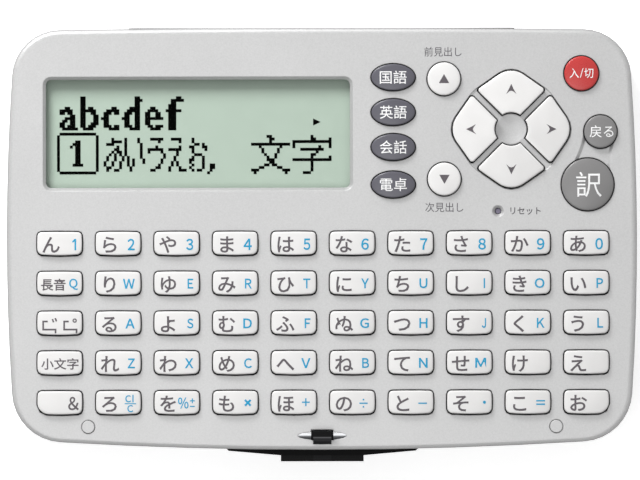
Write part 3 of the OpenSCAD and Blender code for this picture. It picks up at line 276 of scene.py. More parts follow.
def moulded(name, colour, roughness, texture_mm=0.12, depth_mm=0.003, wander=0.02, edge=0.06,
            shine=0.5):
    material, tree, shader, where = start_material(name)
    texture = add(tree, "ShaderNodeTexNoise", None, Vector=where, Scale=1 / (texture_mm * MM),
                  Detail=2.0)
    slow = add(tree, "ShaderNodeTexNoise", None, Vector=where, Scale=DRIFT_SCALE,
               Detail=1.0)
    tone = add(tree, "ShaderNodeMapRange", None, Value=slow.outputs[0], From_Min=0.3, From_Max=0.7,
               To_Min=1 - wander, To_Max=1 + wander)
    tint = add(tree, "ShaderNodeVectorMath", {"operation": "SCALE"}, _0=linear(colour)[:3],
               Scale=tone.outputs[0])
    rough = add(tree, "ShaderNodeMapRange", None, Value=texture.outputs[0], From_Min=0.3,
                From_Max=0.7, To_Min=roughness - 0.04, To_Max=roughness + 0.04)
    edges = add(tree, "ShaderNodeBevel", {"samples": 4}, Radius=edge * MM)
    bump = add(tree, "ShaderNodeBump", None, Strength=0.4, Distance=depth_mm * MM,
               Height=texture.outputs[0], Normal=edges.outputs[0])
    tree.links.new(tint.outputs[0], shader.inputs["Base Color"])
    tree.links.new(rough.outputs[0], shader.inputs["Roughness"])
    tree.links.new(bump.outputs[0], shader.inputs["Normal"])
    shader.inputs["IOR"].default_value = 1.53
    shader.inputs["Specular IOR Level"].default_value = shine
    return material


# moulded ABS keys: an even satin top, on which the lamp leaves a soft highlight
pale_abs = moulded("pale_abs_key", "#E6E5E4", 0.34)
dark_abs = moulded("dark_grey_abs_key", "#55545D", 0.34, wander=0.03)
grey_abs = moulded("grey_abs_key", "#7F7E7E", 0.34, wander=0.03)
red_abs = moulded("red_abs_key", "#BE2F2D", 0.3, wander=0.03)
# the flange and the straight wall of each cap: a dull dark grey as painted shade, so they read as
# the gap round the key
flange_painted_shade = moulded("key_flange_painted_shade", "#3A393C", 0.6, shine=0.2)
# ABS and acetal of the latch: nearly black, with little shine
black_abs = moulded("black_abs_latch", "#050506", 0.35, 0.18, 0.006, shine=0.04)
dress(black_abs, "latch_bezel", "hinge_link")
hook_black = moulded("black_acetal_hook", "#08080A", 0.3, 0.18, 0.004, shine=0.06)
dress(hook_black, "latch")
print("plastics of the keys and the latch are ready")

# %% Painted highlight on the lip of the hook
HOOK_EDGE_Y, HOOK_TONGUE_HALF = -34.6, 1.57
LIP_FRONT_Y, LIP_BACK_Y = HOOK_EDGE_Y - 1.4, HOOK_EDGE_Y + 0.2
# greys of the painted highlight: a lighter front on the sloped lip, a thin pale line, then black
LIP_HIGHLIGHT_GREYS = ((0.72, "#262628"), (0.84, "#5C5C5E"), (0.93, "#0A0A0B"))
hook_tree = hook_black.node_tree
hook_place = add(hook_tree, "ShaderNodeTexCoord")
hook_xyz = add(hook_tree, "ShaderNodeSeparateXYZ", None, Vector=hook_place.outputs["Object"])
sideways = add(hook_tree, "ShaderNodeMath", {"operation": "ABSOLUTE"}, _0=hook_xyz.outputs["X"])
on_tongue = add(hook_tree, "ShaderNodeMath", {"operation": "LESS_THAN"}, _0=sideways.outputs[0],
                _1=HOOK_TONGUE_HALF * MM)
along = add(hook_tree, "ShaderNodeMapRange", None, Value=hook_xyz.outputs["Y"],
            From_Min=place(0, LIP_FRONT_Y, 0).y, From_Max=place(0, LIP_BACK_Y, 0).y)
lip = add(hook_tree, "ShaderNodeValToRGB", None, Fac=along.outputs[0])
lip.color_ramp.elements[0].color = linear("#161618")
lip.color_ramp.elements[1].color = linear("#050506")
for spot, grey in LIP_HIGHLIGHT_GREYS:
    lip.color_ramp.elements.new(spot).color = linear(grey)
# only the tongue gets the painted highlight; the rest of the hook keeps its plain black
painted_lip_highlight = add(hook_tree, "ShaderNodeMix", {"data_type": "RGBA"}, _0=on_tongue.outputs[0],
           _6=linear("#050506"), _7=lip.outputs[0])
hook_tree.links.new(painted_lip_highlight.outputs[2], hook_tree.nodes["Principled BSDF"].inputs["Base Color"])
print("grey steps on the lip:", len(lip.color_ramp.elements))

# %% Plastics, rubber, resin and lacquer, mostly out of sight
# plain moulded plastic: flat and even
dress(moulded("grey_abs_inside", "#4B4C50", 0.5), "lcd_frame")
dress(moulded("violet_grey_plunger", "#6F6A7C", 0.4), "reset_plunger")
# rubber and silicone: dull, so they show form and hardly any highlight
dress(moulded("black_rubber_foot", "#29292B", 0.75, 0.2, 0.01), "rubber_feet")
dress(moulded("dark_grey_silicone", "#3E3F43", 0.6, shine=0.2), "keypad_mat_main",
      "keypad_mat_side")
dress(moulded("zebra_rubber", "#6D6E72", 0.7), "zebra_strip")
# solder lacquer, resin and ceramic: harder and glossier than the rubber round them
dress(moulded("green_board_lacquer", "#2F6B45", 0.35, 0.4, 0.02, 0.08), "main_board")
dress(moulded("black_resin", "#17181A", 0.28, 0.5, 0.01), "controller_blob")
dress(moulded("black_chip_body", "#202124", 0.6), "memory_chip")
dress(moulded("brown_ceramic", "#A98A52", 0.4), "capacitors")
print("moulded finishes:", len([m for m in bpy.data.materials if m.users]))

# %% [markdown]
# Bright metal shows its making in its reflections. Screws, pins and the coin cells are turned
# or pressed and then tumbled, which leaves fine scratches: a noise stretched along one
# direction in the roughness. The plate round the latch is a polished hollow. A colour ramp
# across the plate paints its reflections into the base colour: a painted dark reflection along
# the front edge and a painted bright reflection in the middle.


# %% Metals
def metal(name, colour, roughness, stretch=(1, 1, 1), scratch_mm=0.1):
    material, tree, shader, where = start_material(name)
    lay = add(tree, "ShaderNodeMapping", None, Vector=where, Scale=stretch)
    scratches = add(tree, "ShaderNodeTexNoise", None, Vector=lay.outputs[0],
                    Scale=1 / (scratch_mm * MM), Detail=3.0)
    rough = add(tree, "ShaderNodeMapRange", None, Value=scratches.outputs[0], From_Min=0.3,
                From_Max=0.7, To_Min=roughness * 0.75, To_Max=roughness * 1.3)
    bump = add(tree, "ShaderNodeBump", None, Strength=0.15, Distance=0.000004,
               Height=scratches.outputs[0])
    tree.links.new(rough.outputs[0], shader.inputs["Roughness"])
    tree.links.new(bump.outputs[0], shader.inputs["Normal"])
    shader.inputs["Base Color"].default_value = linear(colour)
    shader.inputs["Metallic"].default_value = 1.0
    return material


# polished steel: a nearly clean mirror
plate = metal("polished_steel_plate", "#E4E5E6", 0.12)
# painted reflection across the plate: dark at the front edge, bright in the middle
PLATE_REFLECTION_GREYS = ((0.0, "#303133"), (0.18, "#5A5B5D"), (0.40, "#A9AAAC"), (0.55, "#F4F4F5"),
               (0.78, "#E9EAEB"), (0.92, "#A2A3A5"))
plate_front, plate_back = (corner.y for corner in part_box("latch_plate"))
plate_tree = plate.node_tree
plate_place = add(plate_tree, "ShaderNodeTexCoord")
plate_xyz = add(plate_tree, "ShaderNodeSeparateXYZ", None, Vector=plate_place.outputs["Object"])
across = add(plate_tree, "ShaderNodeMapRange", None, Value=plate_xyz.outputs["Y"],
             From_Min=plate_front, From_Max=plate_back)
painted_reflection = add(plate_tree, "ShaderNodeValToRGB", None, Fac=across.outputs[0])
for spot, grey in PLATE_REFLECTION_GREYS:
    painted_reflection.color_ramp.elements.new(spot).color = linear(grey)
painted_reflection.color_ramp.elements.remove(painted_reflection.color_ramp.elements[0])
painted_reflection.color_ramp.elements.remove(painted_reflection.color_ramp.elements[-1])
plate_tree.links.new(painted_reflection.outputs[0], plate_tree.nodes["Principled BSDF"].inputs["Base Color"])
dress(plate, "latch_plate")
# tumbled, pressed and plated metal: soft broken reflections
dress(metal("tumbled_steel", "#B9BCC0", 0.3, (1, 1, 6)), "case_screws", "board_screws",
      "case_hinge_pins", "lid_hinge_pins", "latch_spring")
dress(metal("pressed_cell_steel", "#C4C6C9", 0.25, (1, 8, 1)), "coin_cells")
dress(metal("crystal_can_steel", "#C8CACC", 0.2), "crystal")
dress(metal("gold_plated_bronze", "#D0B060", 0.25, (6, 1, 1)), "battery_springs", "battery_clips")
print("metals:", [m.name for m in bpy.data.materials if "steel" in m.name])

# %% [markdown]
# The display is a sandwich: a clear acrylic window, two thin glasses with the liquid crystal
# between them, and a reflector. What the eye sees is the satin polariser on the front glass,
# which spreads the light and gives the grey green ground, so the front glass is drawn as that
# film. The window over it lets almost all light through. A small share of alpha does this
# with far less noise than refraction, and it survives the export.


# %% Display layers
def clear_layer(name, colour, alpha, roughness):
    material, tree, shader, where = start_material(name)
    haze = add(tree, "ShaderNodeTexNoise", None, Vector=where, Scale=900.0, Detail=2.0)
    rough = add(tree, "ShaderNodeMapRange", None, Value=haze.outputs[0], From_Min=0.3,
                From_Max=0.7, To_Min=roughness, To_Max=roughness + 0.05)
    tree.links.new(rough.outputs[0], shader.inputs["Roughness"])
    shader.inputs["Base Color"].default_value = linear(colour)
    shader.inputs["Alpha"].default_value = alpha
    shader.inputs["IOR"].default_value = 1.49
    return material


# clear acrylic: only its highlights show; glass behind it: a faint tint and a sharper one
dress(clear_layer("acrylic_window", "#0C0E0C", 0.015, 0.04), "lcd_window")
dress(moulded("grey_green_polariser", "#B7C8BA", 0.5, 0.1, 0.001, 0.012, shine=0.1),
      "lcd_front_glass")
dress(clear_layer("rear_display_glass", "#B4C4B7", 0.1, 0.08), "lcd_rear_glass")
dress(moulded("grey_green_reflector", "#CBDDCE", 0.55, 0.1, 0.001, 0.012), "lcd_reflector")
print("display layers dressed")

# %% [markdown]
# Every key cap is a moulded shell with straight sides, a small rounding along its edge and a
# gently domed top. A cap could be a box with a Bevel modifier, but the caps have bowed edges,
# so each is built in rings from its own outline: a wide flange that holds the cap under the
# face, a wall, five rings round the edge, then rings that shrink towards the middle, all
# laid on the dome. The flange and the wall get a dark grey as painted shade of the gap.

# %% Outlines, measured in millimetres round a key's middle
FACE_Z = CASE_Z
GAP = 0.17  # between a cap and the wall of its opening
SIDE_BOW, BACK_BOW, FRONT_BOW = 0.12, 0.06, 0.2


def arc(c, r, a0, a1, n):
    angles = [a0 + (a1 - a0) * i / n for i in range(n + 1)]
    return [(c[0] + r * math.cos(a), c[1] + r * math.sin(a)) for a in angles]


def rounded(points, radii, n=6):
    """A polygon whose corners are arcs of the given radii, n steps to an arc."""
    ring = []
    k = len(points)
    for i, (p, r) in enumerate(zip(points, radii)):
        p, a, b = Vector(p), Vector(points[i - 1]), Vector(points[(i + 1) % k])
        u, v = (a - p).normalized(), (b - p).normalized()
        half = u.angle(v) / 2
        c = p + (u + v).normalized() * (r / math.sin(half))
        s, e = p + u * (r / math.tan(half)) - c, p + v * (r / math.tan(half)) - c
        a0, a1 = math.atan2(s.y, s.x), math.atan2(e.y, e.x)
        turn = (a1 - a0 + 3 * math.pi) % (2 * math.pi) - math.pi
        ring += arc(c, r, a0, a0 + turn, n)
    return ring


def small_key(width, depth, r_back, r_left, r_right):
    """A small key's outline: rounded corners joined by edges that bow out a little."""
    w, d = width / 2, depth / 2
    corners = [(w, d), (-w, d), (-w, -d), (w, -d)]
    radii = [r_back, r_back, r_left, r_right]
    ring = rounded([(x * (1 - SIDE_BOW / w), y * (1 - (BACK_BOW if y > 0 else FRONT_BOW) / d))
                    for x, y in corners], radii)
    flat = []
    for i, p in enumerate(ring):
        q = ring[(i + 1) % len(ring)]
        flat.append(p)
        if math.dist(p, q) > 1.0:
            flat += [(p[0] + (q[0] - p[0]) * t / 6, p[1] + (q[1] - p[1]) * t / 6)
                     for t in range(1, 6)]
    bowed = []
    for x, y in flat:
        bow = BACK_BOW if y > 0 else FRONT_BOW
        bowed.append((x * (1 + SIDE_BOW / w * (1 - (y / d) ** 2)), y + math.copysign(bow, y)
                      * (1 - (x / w) ** 2) * min(1, abs(y) / (d * 0.5))))
    return bowed


def shrink(ring, by):
    """Move an outline inwards along the mean of its two neighbouring edges' normals."""
    inwards = []
    k = len(ring)
    for i in range(k):
        a, p, b = Vector(ring[i - 1]), Vector(ring[i]), Vector(ring[(i + 1) % k])
        n1, n2 = (p - a).normalized(), (b - p).normalized()
        n = (n1 + n2).normalized()
        inwards.append((p.x - n.y * by, p.y + n.x * by))
    return inwards


print("a small key has", len(small_key(8.0, 4.2, 0.6, 0.8, 0.8)), "outline points")

# %% Build one cap
LIP_TOP = FACE_Z - 1.3
LIP_T, LIP_OUT, EDGE_R = 0.8, 0.57, 0.22
SHARP = math.radians(40)  # edges sharper than this stay crisp


def dome_height(x, y, rise, radius):
    """Height of a ball whose top stands rise mm above the face at 0, 0."""
    return FACE_Z + rise - radius + math.sqrt(radius * radius - x * x - y * y)


def cap_mesh(name, ring, rise, radius, lip=LIP_OUT):
    """A cap whose outline is ring, under a dome whose top is rise mm above the face."""
    bm = bmesh.new()
    flange = bm.faces.layers.bool.new("flange")
    mid = Vector((sum(p[0] for p in ring) / len(ring), sum(p[1] for p in ring) / len(ring)))
    rows = []

    def row(points, heights):
        rows.append([bm.verts.new((p[0] * MM, p[1] * MM, z * MM)) for p, z in zip(points, heights)])

    def height(p):
        return dome_height(p[0], p[1], rise, radius)

    outer = shrink(ring, -lip)
    row(outer, [LIP_TOP - LIP_T] * len(ring))
    row(outer, [LIP_TOP] * len(ring))
    row(ring, [LIP_TOP] * len(ring))
    for step in range(5):
        angle = math.radians(22.5 * step)
        points = shrink(ring, EDGE_R * (1 - math.cos(angle)))
        row(points, [height(p) - EDGE_R * (1 - math.sin(angle)) for p in points])
    inner_ring = shrink(ring, EDGE_R)
    for share in (0.85, 0.65, 0.4, 0.15):
        points = [tuple(mid + (Vector(p) - mid) * share) for p in inner_ring]
        row(points, [height(p) for p in points])
    for level, (low, high) in enumerate(zip(rows, rows[1:])):
        for i in range(len(low)):
            j = (i + 1) % len(low)
            face = bm.faces.new((low[i], low[j], high[j], high[i]))
            face[flange] = level < 3
    bm.faces.new(rows[-1])
    bm.faces.new(list(reversed(rows[0])))[flange] = True
    for face in bm.faces:
        face.smooth = True
        # the flange and the wall take the second material, the dark painted shade of the gap
        face.material_index = int(face[flange])
    for edge in bm.edges:
        if edge.calc_face_angle(0) > SHARP:
            edge.smooth = False
    mesh = bpy.data.meshes.new(name)
    bm.to_mesh(mesh)
    bm.free()
    mesh.materials.append(pale_abs)
    mesh.materials.append(flange_painted_shade)
    return mesh


def put(name, mesh, material, body, stands_for=()):
    """Make the mesh a piece that rides on a body and may stand for construction nodes."""
    if material is not None:
        mesh.materials.clear()
        mesh.materials.append(material)
    obj = bpy.data.objects.new(name, mesh)
    scene.collection.objects.link(obj)
    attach(obj, body)
    if stands_for:
        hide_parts(*stands_for)
    return obj


print("a cap's lip ends at", round(LIP_TOP, 2), "mm")

# %% [markdown]
# Fifty small caps stand in ten columns of five, so a Geometry Nodes tree repeats them. It lays
# points along a line, sets a cap on each and another cap on the last point, because the two
# outer keys of the lowest row have one large rounded corner. The tree ends in Realize
# Instances and Set Material, once for the caps and once for the faces that carry the flange
# mark, and the result becomes one plain mesh for each column.

# %% A tree that makes a column of keys
KEY_PITCH_X, KEY_PITCH_Y = 10.22, 6.95
FIRST_COLUMN_X, FIRST_ROW_Y = -45.81, -0.81
KEY_W, KEY_D = 8.176, 4.5175


def column_tree():
    tree = bpy.data.node_groups.new("column_of_keys", "GeometryNodeTree")
    for name, kind in (("Cap", "NodeSocketObject"), ("Last cap", "NodeSocketObject"),
                       ("Rows", "NodeSocketInt"), ("Pitch", "NodeSocketFloat"),
                       ("First key", "NodeSocketVector"), ("Cap material", "NodeSocketMaterial"),
                       ("Flange material", "NodeSocketMaterial")):
        tree.interface.new_socket(name, in_out="INPUT", socket_type=kind)
    tree.interface.new_socket("Geometry", in_out="OUTPUT", socket_type="NodeSocketGeometry")
    inputs = add(tree, "NodeGroupInput")
    cap = add(tree, "GeometryNodeObjectInfo", None, Object=inputs.outputs["Cap"])
    last = add(tree, "GeometryNodeObjectInfo", None, Object=inputs.outputs["Last cap"])
    down = add(tree, "ShaderNodeMath", {"operation": "MULTIPLY"}, _0=inputs.outputs["Pitch"],
               _1=-1.0)
    step = add(tree, "ShaderNodeCombineXYZ", None, Y=down.outputs[0])
    above = add(tree, "ShaderNodeMath", {"operation": "SUBTRACT"}, _0=inputs.outputs["Rows"],
                _1=1.0)
    line = add(tree, "GeometryNodeMeshLine", None, Count=above.outputs[0],
               Start_Location=inputs.outputs["First key"], Offset=step.outputs[0])
    caps = add(tree, "GeometryNodeInstanceOnPoints", None, Points=line.outputs[0],
               Instance=cap.outputs["Geometry"])
    run = add(tree, "ShaderNodeVectorMath", {"operation": "SCALE"}, _0=step.outputs[0],
              Scale=above.outputs[0])
    end = add(tree, "ShaderNodeVectorMath", None, _0=run.outputs[0], _1=inputs.outputs["First key"])
    lowest = add(tree, "GeometryNodeTransform", None, Geometry=last.outputs["Geometry"],
                 Translation=end.outputs[0])
    join = add(tree, "GeometryNodeJoinGeometry", None, Geometry=caps.outputs[0])
    tree.links.new(lowest.outputs[0], join.inputs[0])
    real = add(tree, "GeometryNodeRealizeInstances", None, Geometry=join.outputs[0])
    capped = add(tree, "GeometryNodeSetMaterial", None, Geometry=real.outputs[0],
                 Material=inputs.outputs["Cap material"])
    flange = add(tree, "GeometryNodeInputNamedAttribute", {"data_type": "BOOLEAN"}, Name="flange")
    done = add(tree, "GeometryNodeSetMaterial", None, Geometry=capped.outputs[0],
               Selection=flange.outputs[0], Material=inputs.outputs["Flange material"])
    add(tree, "NodeGroupOutput", None, Geometry=done.outputs[0])
    return tree


def loose_object(name, mesh):
    obj = bpy.data.objects.new(name, mesh)
    scene.collection.objects.link(obj)
    return obj


def run_tree(tree, values, start=None):
    """Evaluate a tree on a mesh with the given inputs and return its result as a plain mesh."""
    host = loose_object("tree_host", start or bpy.data.meshes.new("tree_host"))
    modifier = host.modifiers.new("tree", "NODES")
    modifier.node_group = tree
    for item in tree.interface.items_tree:
        if item.item_type == "SOCKET" and item.in_out == "INPUT" and item.name in values:
            modifier[item.identifier] = values[item.name]
    graph = bpy.context.evaluated_depsgraph_get()
    mesh = bpy.data.meshes.new_from_object(host.evaluated_get(graph))
    host.modifiers.clear()
    bpy.data.objects.remove(host)
    return mesh


keys_tree = column_tree()
print("tree inputs:", [i.name for i in keys_tree.interface.items_tree if i.in_out == "INPUT"])

# %% Ten columns of small keys
ROW_COUNT, COLUMN_COUNT = 5, 10
FRONT_EXTRA = 0.08  # the gap is this much wider at the front, where it shows as a dark line
BACK_CORNER, FRONT_CORNER, CASE_CORNER = 0.6, 0.8, 1.75
SMALL_RISE, SMALL_DOME_R = 1.0, 30
CAP_W, CAP_D = KEY_W - 2 * GAP, KEY_D - 2 * GAP - FRONT_EXTRA


def small_cap(name, r_left, r_right):
    ring = small_key(CAP_W, CAP_D, BACK_CORNER, r_left, r_right)
    return loose_object(name, cap_mesh(name, ring, SMALL_RISE, SMALL_DOME_R))


plain_cap = small_cap("plain_cap", FRONT_CORNER, FRONT_CORNER)
left_cap = small_cap("left_cap", CASE_CORNER, FRONT_CORNER)
right_cap = small_cap("right_cap", FRONT_CORNER, CASE_CORNER)
column_x = [FIRST_COLUMN_X + i * KEY_PITCH_X for i in range(COLUMN_COUNT)]
for i, x in enumerate(column_x):
    last = left_cap if i == 0 else right_cap if i == COLUMN_COUNT - 1 else plain_cap
    mesh = run_tree(keys_tree, {"Cap": plain_cap, "Last cap": last, "Rows": ROW_COUNT,
                                "Pitch": KEY_PITCH_Y * MM,
                                "First key": place(x, FIRST_ROW_Y + FRONT_EXTRA / 2, 0),
                                "Cap material": pale_abs, "Flange material": flange_painted_shade})
    node = f"key_column_{i + 1}"
    put(f"column_caps_{i + 1}", mesh, None, node, (node,))
for cap in (plain_cap, left_cap, right_cap):
    bpy.data.objects.remove(cap)
print("columns of caps:", len(column_x))

# %% [markdown]
# The larger keys are made by the same rings from their own outlines: ellipses for the four
# mode keys, circles for the round ones, and for the arrow keys a kite with a rounded crown
# whose inner corner is cut by the round hub. The four arrow keys share one wide dome round
# the hub, so the cross feels like one cushion under the thumb.

# %% Round, oval and arrow keys
LARGE_RISE, LARGE_DOME_R = 0.9, 22
PAD, PAD_RISE, PAD_DOME_R, PAD_LIP = (33.1, 19.1), 1.15, 80, 0.5
HUB_R, HUB_CORNER_R, CORNER_STEPS = 2.75, 0.05, 8


def ellipse(w, d, n=48):
    angles = [2 * math.pi * i / n for i in range(n)]
    return [(w / 2 * math.cos(a), d / 2 * math.sin(a)) for a in angles]


def arrow_outline(inset):
    """The upper arrow key round the hub's middle, counter-clockwise."""
    # the crown's slope, its top's distance from the hub, the rib between keys, two corner radii
    slope, reach, rib, crown, tip = math.radians(35), 10.42, 0.95, 3.84, 0.5
    hub = HUB_R + inset
    low = (rib / 2 + inset) * math.sqrt(2)
    high = reach + crown * (1 / math.cos(slope) - 1) - inset / math.cos(slope)
    x = (high - low) / (1 + math.tan(slope))
    corners = [(0, low), (x, x + low), (0, high), (-x, x + low)]
    ring = rounded(corners, [HUB_CORNER_R, tip, crown, tip], CORNER_STEPS)[CORNER_STEPS + 1:]
    meet = (math.sqrt(2 * hub * hub - low * low) - low) / 2
    a0 = math.atan2(meet + low, -meet)
    a1 = math.atan2(meet + low, meet)
    return ring + arc((0, 0), hub, a0, a1, CORNER_STEPS)


def turned(ring, quarter):
    """The ring after that many quarter turns to the left."""
    c, s = round(math.cos(math.pi / 2 * quarter)), round(math.sin(math.pi / 2 * quarter))
    return [(x * c - y * s, x * s + y * c) for x, y in ring]


def single_key(node, at, ring, rise, radius, material, lip=LIP_OUT):
    mesh = cap_mesh(node + "_cap", ring, rise, radius, lip=lip)
    mesh.transform(Matrix.Translation(place(at[0], at[1], 0)))
    mesh.materials[0] = material
    put(node + "_cap", mesh, None, node, (node,))


MODE_AT = [(12.5, 28.2), (12.5, 22.1), (12.5, 16.0), (12.5, 9.45)]
MODE_W, MODE_D = 8.0, 4.95
for i, at in enumerate(MODE_AT):
    single_key(f"mode_key_{i + 1}", at, ellipse(MODE_W - 2 * GAP, MODE_D - 2 * GAP),
               LARGE_RISE, LARGE_DOME_R, dark_abs)
ROUND = {"page_up_key": ((21.37, 27.9), 3.05, pale_abs),
         "page_down_key": ((21.41, 10.39), 3.05, pale_abs),
         "power_key": ((45.38, 28.82), 3.17, red_abs),
         "back_key": ((48.71, 18.65), 3.03, grey_abs),
         "enter_key": ((46.45, 9.42), 4.74, grey_abs)}
for node, (at, r, material) in ROUND.items():
    single_key(node, at, ellipse(2 * (r - GAP), 2 * (r - GAP)), LARGE_RISE, LARGE_DOME_R,
               material)
ARROWS = ("up_key", "left_key", "down_key", "right_key")
for quarter, node in enumerate(ARROWS):
    single_key(node, PAD, turned(arrow_outline(GAP), quarter), PAD_RISE, PAD_DOME_R, pale_abs,
               PAD_LIP)
print("single keys:", len(MODE_AT) + len(ROUND) + len(ARROWS))

# %% [markdown]
# The legends are pad printed: an even film of ink that follows the dome. Text objects give
# the letter shapes. Each is turned into a mesh, set by its measured box so that the left and
# right marks line up from key to key, and then every point is laid just above the cap's dome.
# Full width letters are used because their plain strokes match the printed ones, and each is
# set to its printed width. Simple signs, such as bars, frames and rings, are drawn as polygons.


# %% Ink and letters
def ink(name, colour):
    material, tree, shader, where = start_material(name)
    cover = add(tree, "ShaderNodeTexNoise", None, Vector=where, Scale=5000.0, Detail=1.0)
    tone = add(tree, "ShaderNodeMapRange", None, Value=cover.outputs[0], From_Min=0.3, From_Max=0.7,
               To_Min=0.94, To_Max=1.06)
    tint = add(tree, "ShaderNodeVectorMath", {"operation": "SCALE"}, _0=linear(colour)[:3],
               Scale=tone.outputs[0])
    tree.links.new(tint.outputs[0], shader.inputs["Base Color"])
    shader.inputs["Roughness"].default_value = 0.5
    return material


# pad ink: a thin dull film with a slightly uneven cover
dark_ink = ink("dark_grey_pad_ink", "#565055")
blue_ink = ink("blue_pad_ink", "#009BC8")
white_ink = ink("white_pad_ink", "#F7F7F7")
label_ink = ink("grey_screen_ink", "#47444A")

INK_LIFT = 0.03
letter_store = {}


def letter(text, weight=0.0):
    """The outline of a text as flat points and faces, in units of its size."""
    if (text, weight) not in letter_store:
        curve = bpy.data.curves.new("letter", "FONT")
        curve.body = text
        curve.offset = weight
        curve.resolution_u = 3
        obj = bpy.data.objects.new("letter", curve)
        scene.collection.objects.link(obj)
        graph = bpy.context.evaluated_depsgraph_get()
        mesh = bpy.data.meshes.new_from_object(obj.evaluated_get(graph))
        letter_store[(text, weight)] = ([v.co.xy.copy() for v in mesh.vertices],
                                        [tuple(p.vertices) for p in mesh.polygons])
        bpy.data.objects.remove(obj)
        bpy.data.meshes.remove(mesh)
    return letter_store[(text, weight)]


def set_text(text, at, height, align="centre", weight=0.0, width=None):
    """Points and faces of a text whose box, height mm tall, ends or has its middle at a place."""
    points, faces = letter(text, weight)
    x0, x1 = min(p.x for p in points), max(p.x for p in points)
    y0, y1 = min(p.y for p in points), max(p.y for p in points)
    k = height / (y1 - y0)
    kx = k if width is None else width / (x1 - x0)
    left = at[0] - kx * (x1 - x0) * {"centre": 0.5, "right": 1.0}[align]
    return [((p.x - x0) * kx + left, (p.y - (y0 + y1) / 2) * k + at[1]) for p in points], faces


def print_ink(name, parts, surface, material, body):
    """Join the parts into one mesh, lay it on surface(x, y) and let it ride on body."""
    points, faces = [], []
    for part_points, part_faces in parts:
        faces += [tuple(i + len(points) for i in f) for f in part_faces]
        points += part_points
    mesh = bpy.data.meshes.new(name)
    mesh.from_pydata([place(x, y, surface(x, y) + INK_LIFT) for x, y in points], [], faces)
    bm = bmesh.new()
    bm.from_mesh(mesh)
    bmesh.ops.triangulate(bm, faces=bm.faces[:])
    for face in bm.faces:
        if face.normal.z < 0:
            face.normal_flip()
    bm.to_mesh(mesh)
    bm.free()
    return put(name, mesh, material, body)


print("ink colours:", 4)

# %% What the fifty small keys say
KANA = ["んらやまはなたさかあ", " りゆみひにちしきい", " るよむふぬつすくう",
        " れわめへねてせけえ", " ろをもほのとそこお"]
BLUE = [" ２３４５６７８９０", " ＷＥＲＴＹＵ ＯＰ", " ＡＳＤＦＧＨＪＫＬ", " ＺＸＣＶＢＮＭ  "]
# the printed width of each blue sign, in millimetres
WIDTHS = {"２": 1.25, "３": 1.24, "４": 1.42, "５": 1.2, "６": 1.33, "７": 1.25, "８": 1.33,
          "９": 1.33, "０": 1.35, "Ｗ": 2.05, "Ｅ": 1.0, "Ｒ": 1.2, "Ｔ": 1.25, "Ｙ": 1.35,
          "Ｕ": 1.4, "Ｏ": 1.72, "Ｐ": 1.15, "Ａ": 1.65, "Ｓ": 1.1, "Ｄ": 1.5, "Ｆ": 1.0,
          "Ｇ": 1.55, "Ｈ": 1.42, "Ｊ": 0.75, "Ｋ": 1.35, "Ｌ": 1.02, "Ｚ": 1.25, "Ｘ": 1.5,
          "Ｃ": 1.38, "Ｖ": 1.62, "Ｂ": 1.2, "Ｎ": 1.5, "Ｍ": 1.9}
KANA_AT, KANA_W, KANA_H = (-1.5, -0.16), 3.35, 3.25
EDGE_X, DIGIT_Y, LETTER_Y = 2.9, -0.13, -0.03
DIGIT_H, LETTER_H = 2.0, 1.72
KANA_BOLD, BLUE_BOLD = 0.014, 0.02
print("blue signs:", len(WIDTHS))


# %% Small signs drawn as polygons, in millimetres round a key's middle
def bar(x0, y0, x1, y1):
    return [(x0, y0), (x1, y0), (x1, y1), (x0, y1)], [(0, 1, 2, 3)]


def mark_frame(x0):
    """The open frame that stands for a kana under a sound mark."""
    x1, y0, y1, line, rise, arm = x0 + 2.45, -1.2, 0.5, 0.29, -0.5, 0.95
    return [bar(x0, y0, x0 + line, y1), bar(x0 + line, y0, x1, y0 + line),
            bar(x0 + line, y1 - line, x0 + arm, y1), bar(x1 - line, y0 + line, x1, y0 + rise)]


def slanted(x, y):
    """One of the two short strokes of a sound mark."""
    return [(x, y + 0.28), (x + 0.26, y + 0.36), (x + 0.48, y - 0.2),
            (x + 0.22, y - 0.28)], [(0, 3, 2, 1)]


def circle(x, y, r, n=16):
    return [(x + r * math.cos(2 * math.pi * i / n), y + r * math.sin(2 * math.pi * i / n))
            for i in range(n)]


def hoop(x, y, outer, inner, n=16):
    return (circle(x, y, outer, n) + circle(x, y, inner, n),
            [(i, (i + 1) % n, n + (i + 1) % n, n + i) for i in range(n)])


def disc(x, y, radius, n=16):
    return circle(x, y, radius, n), [tuple(range(n))]


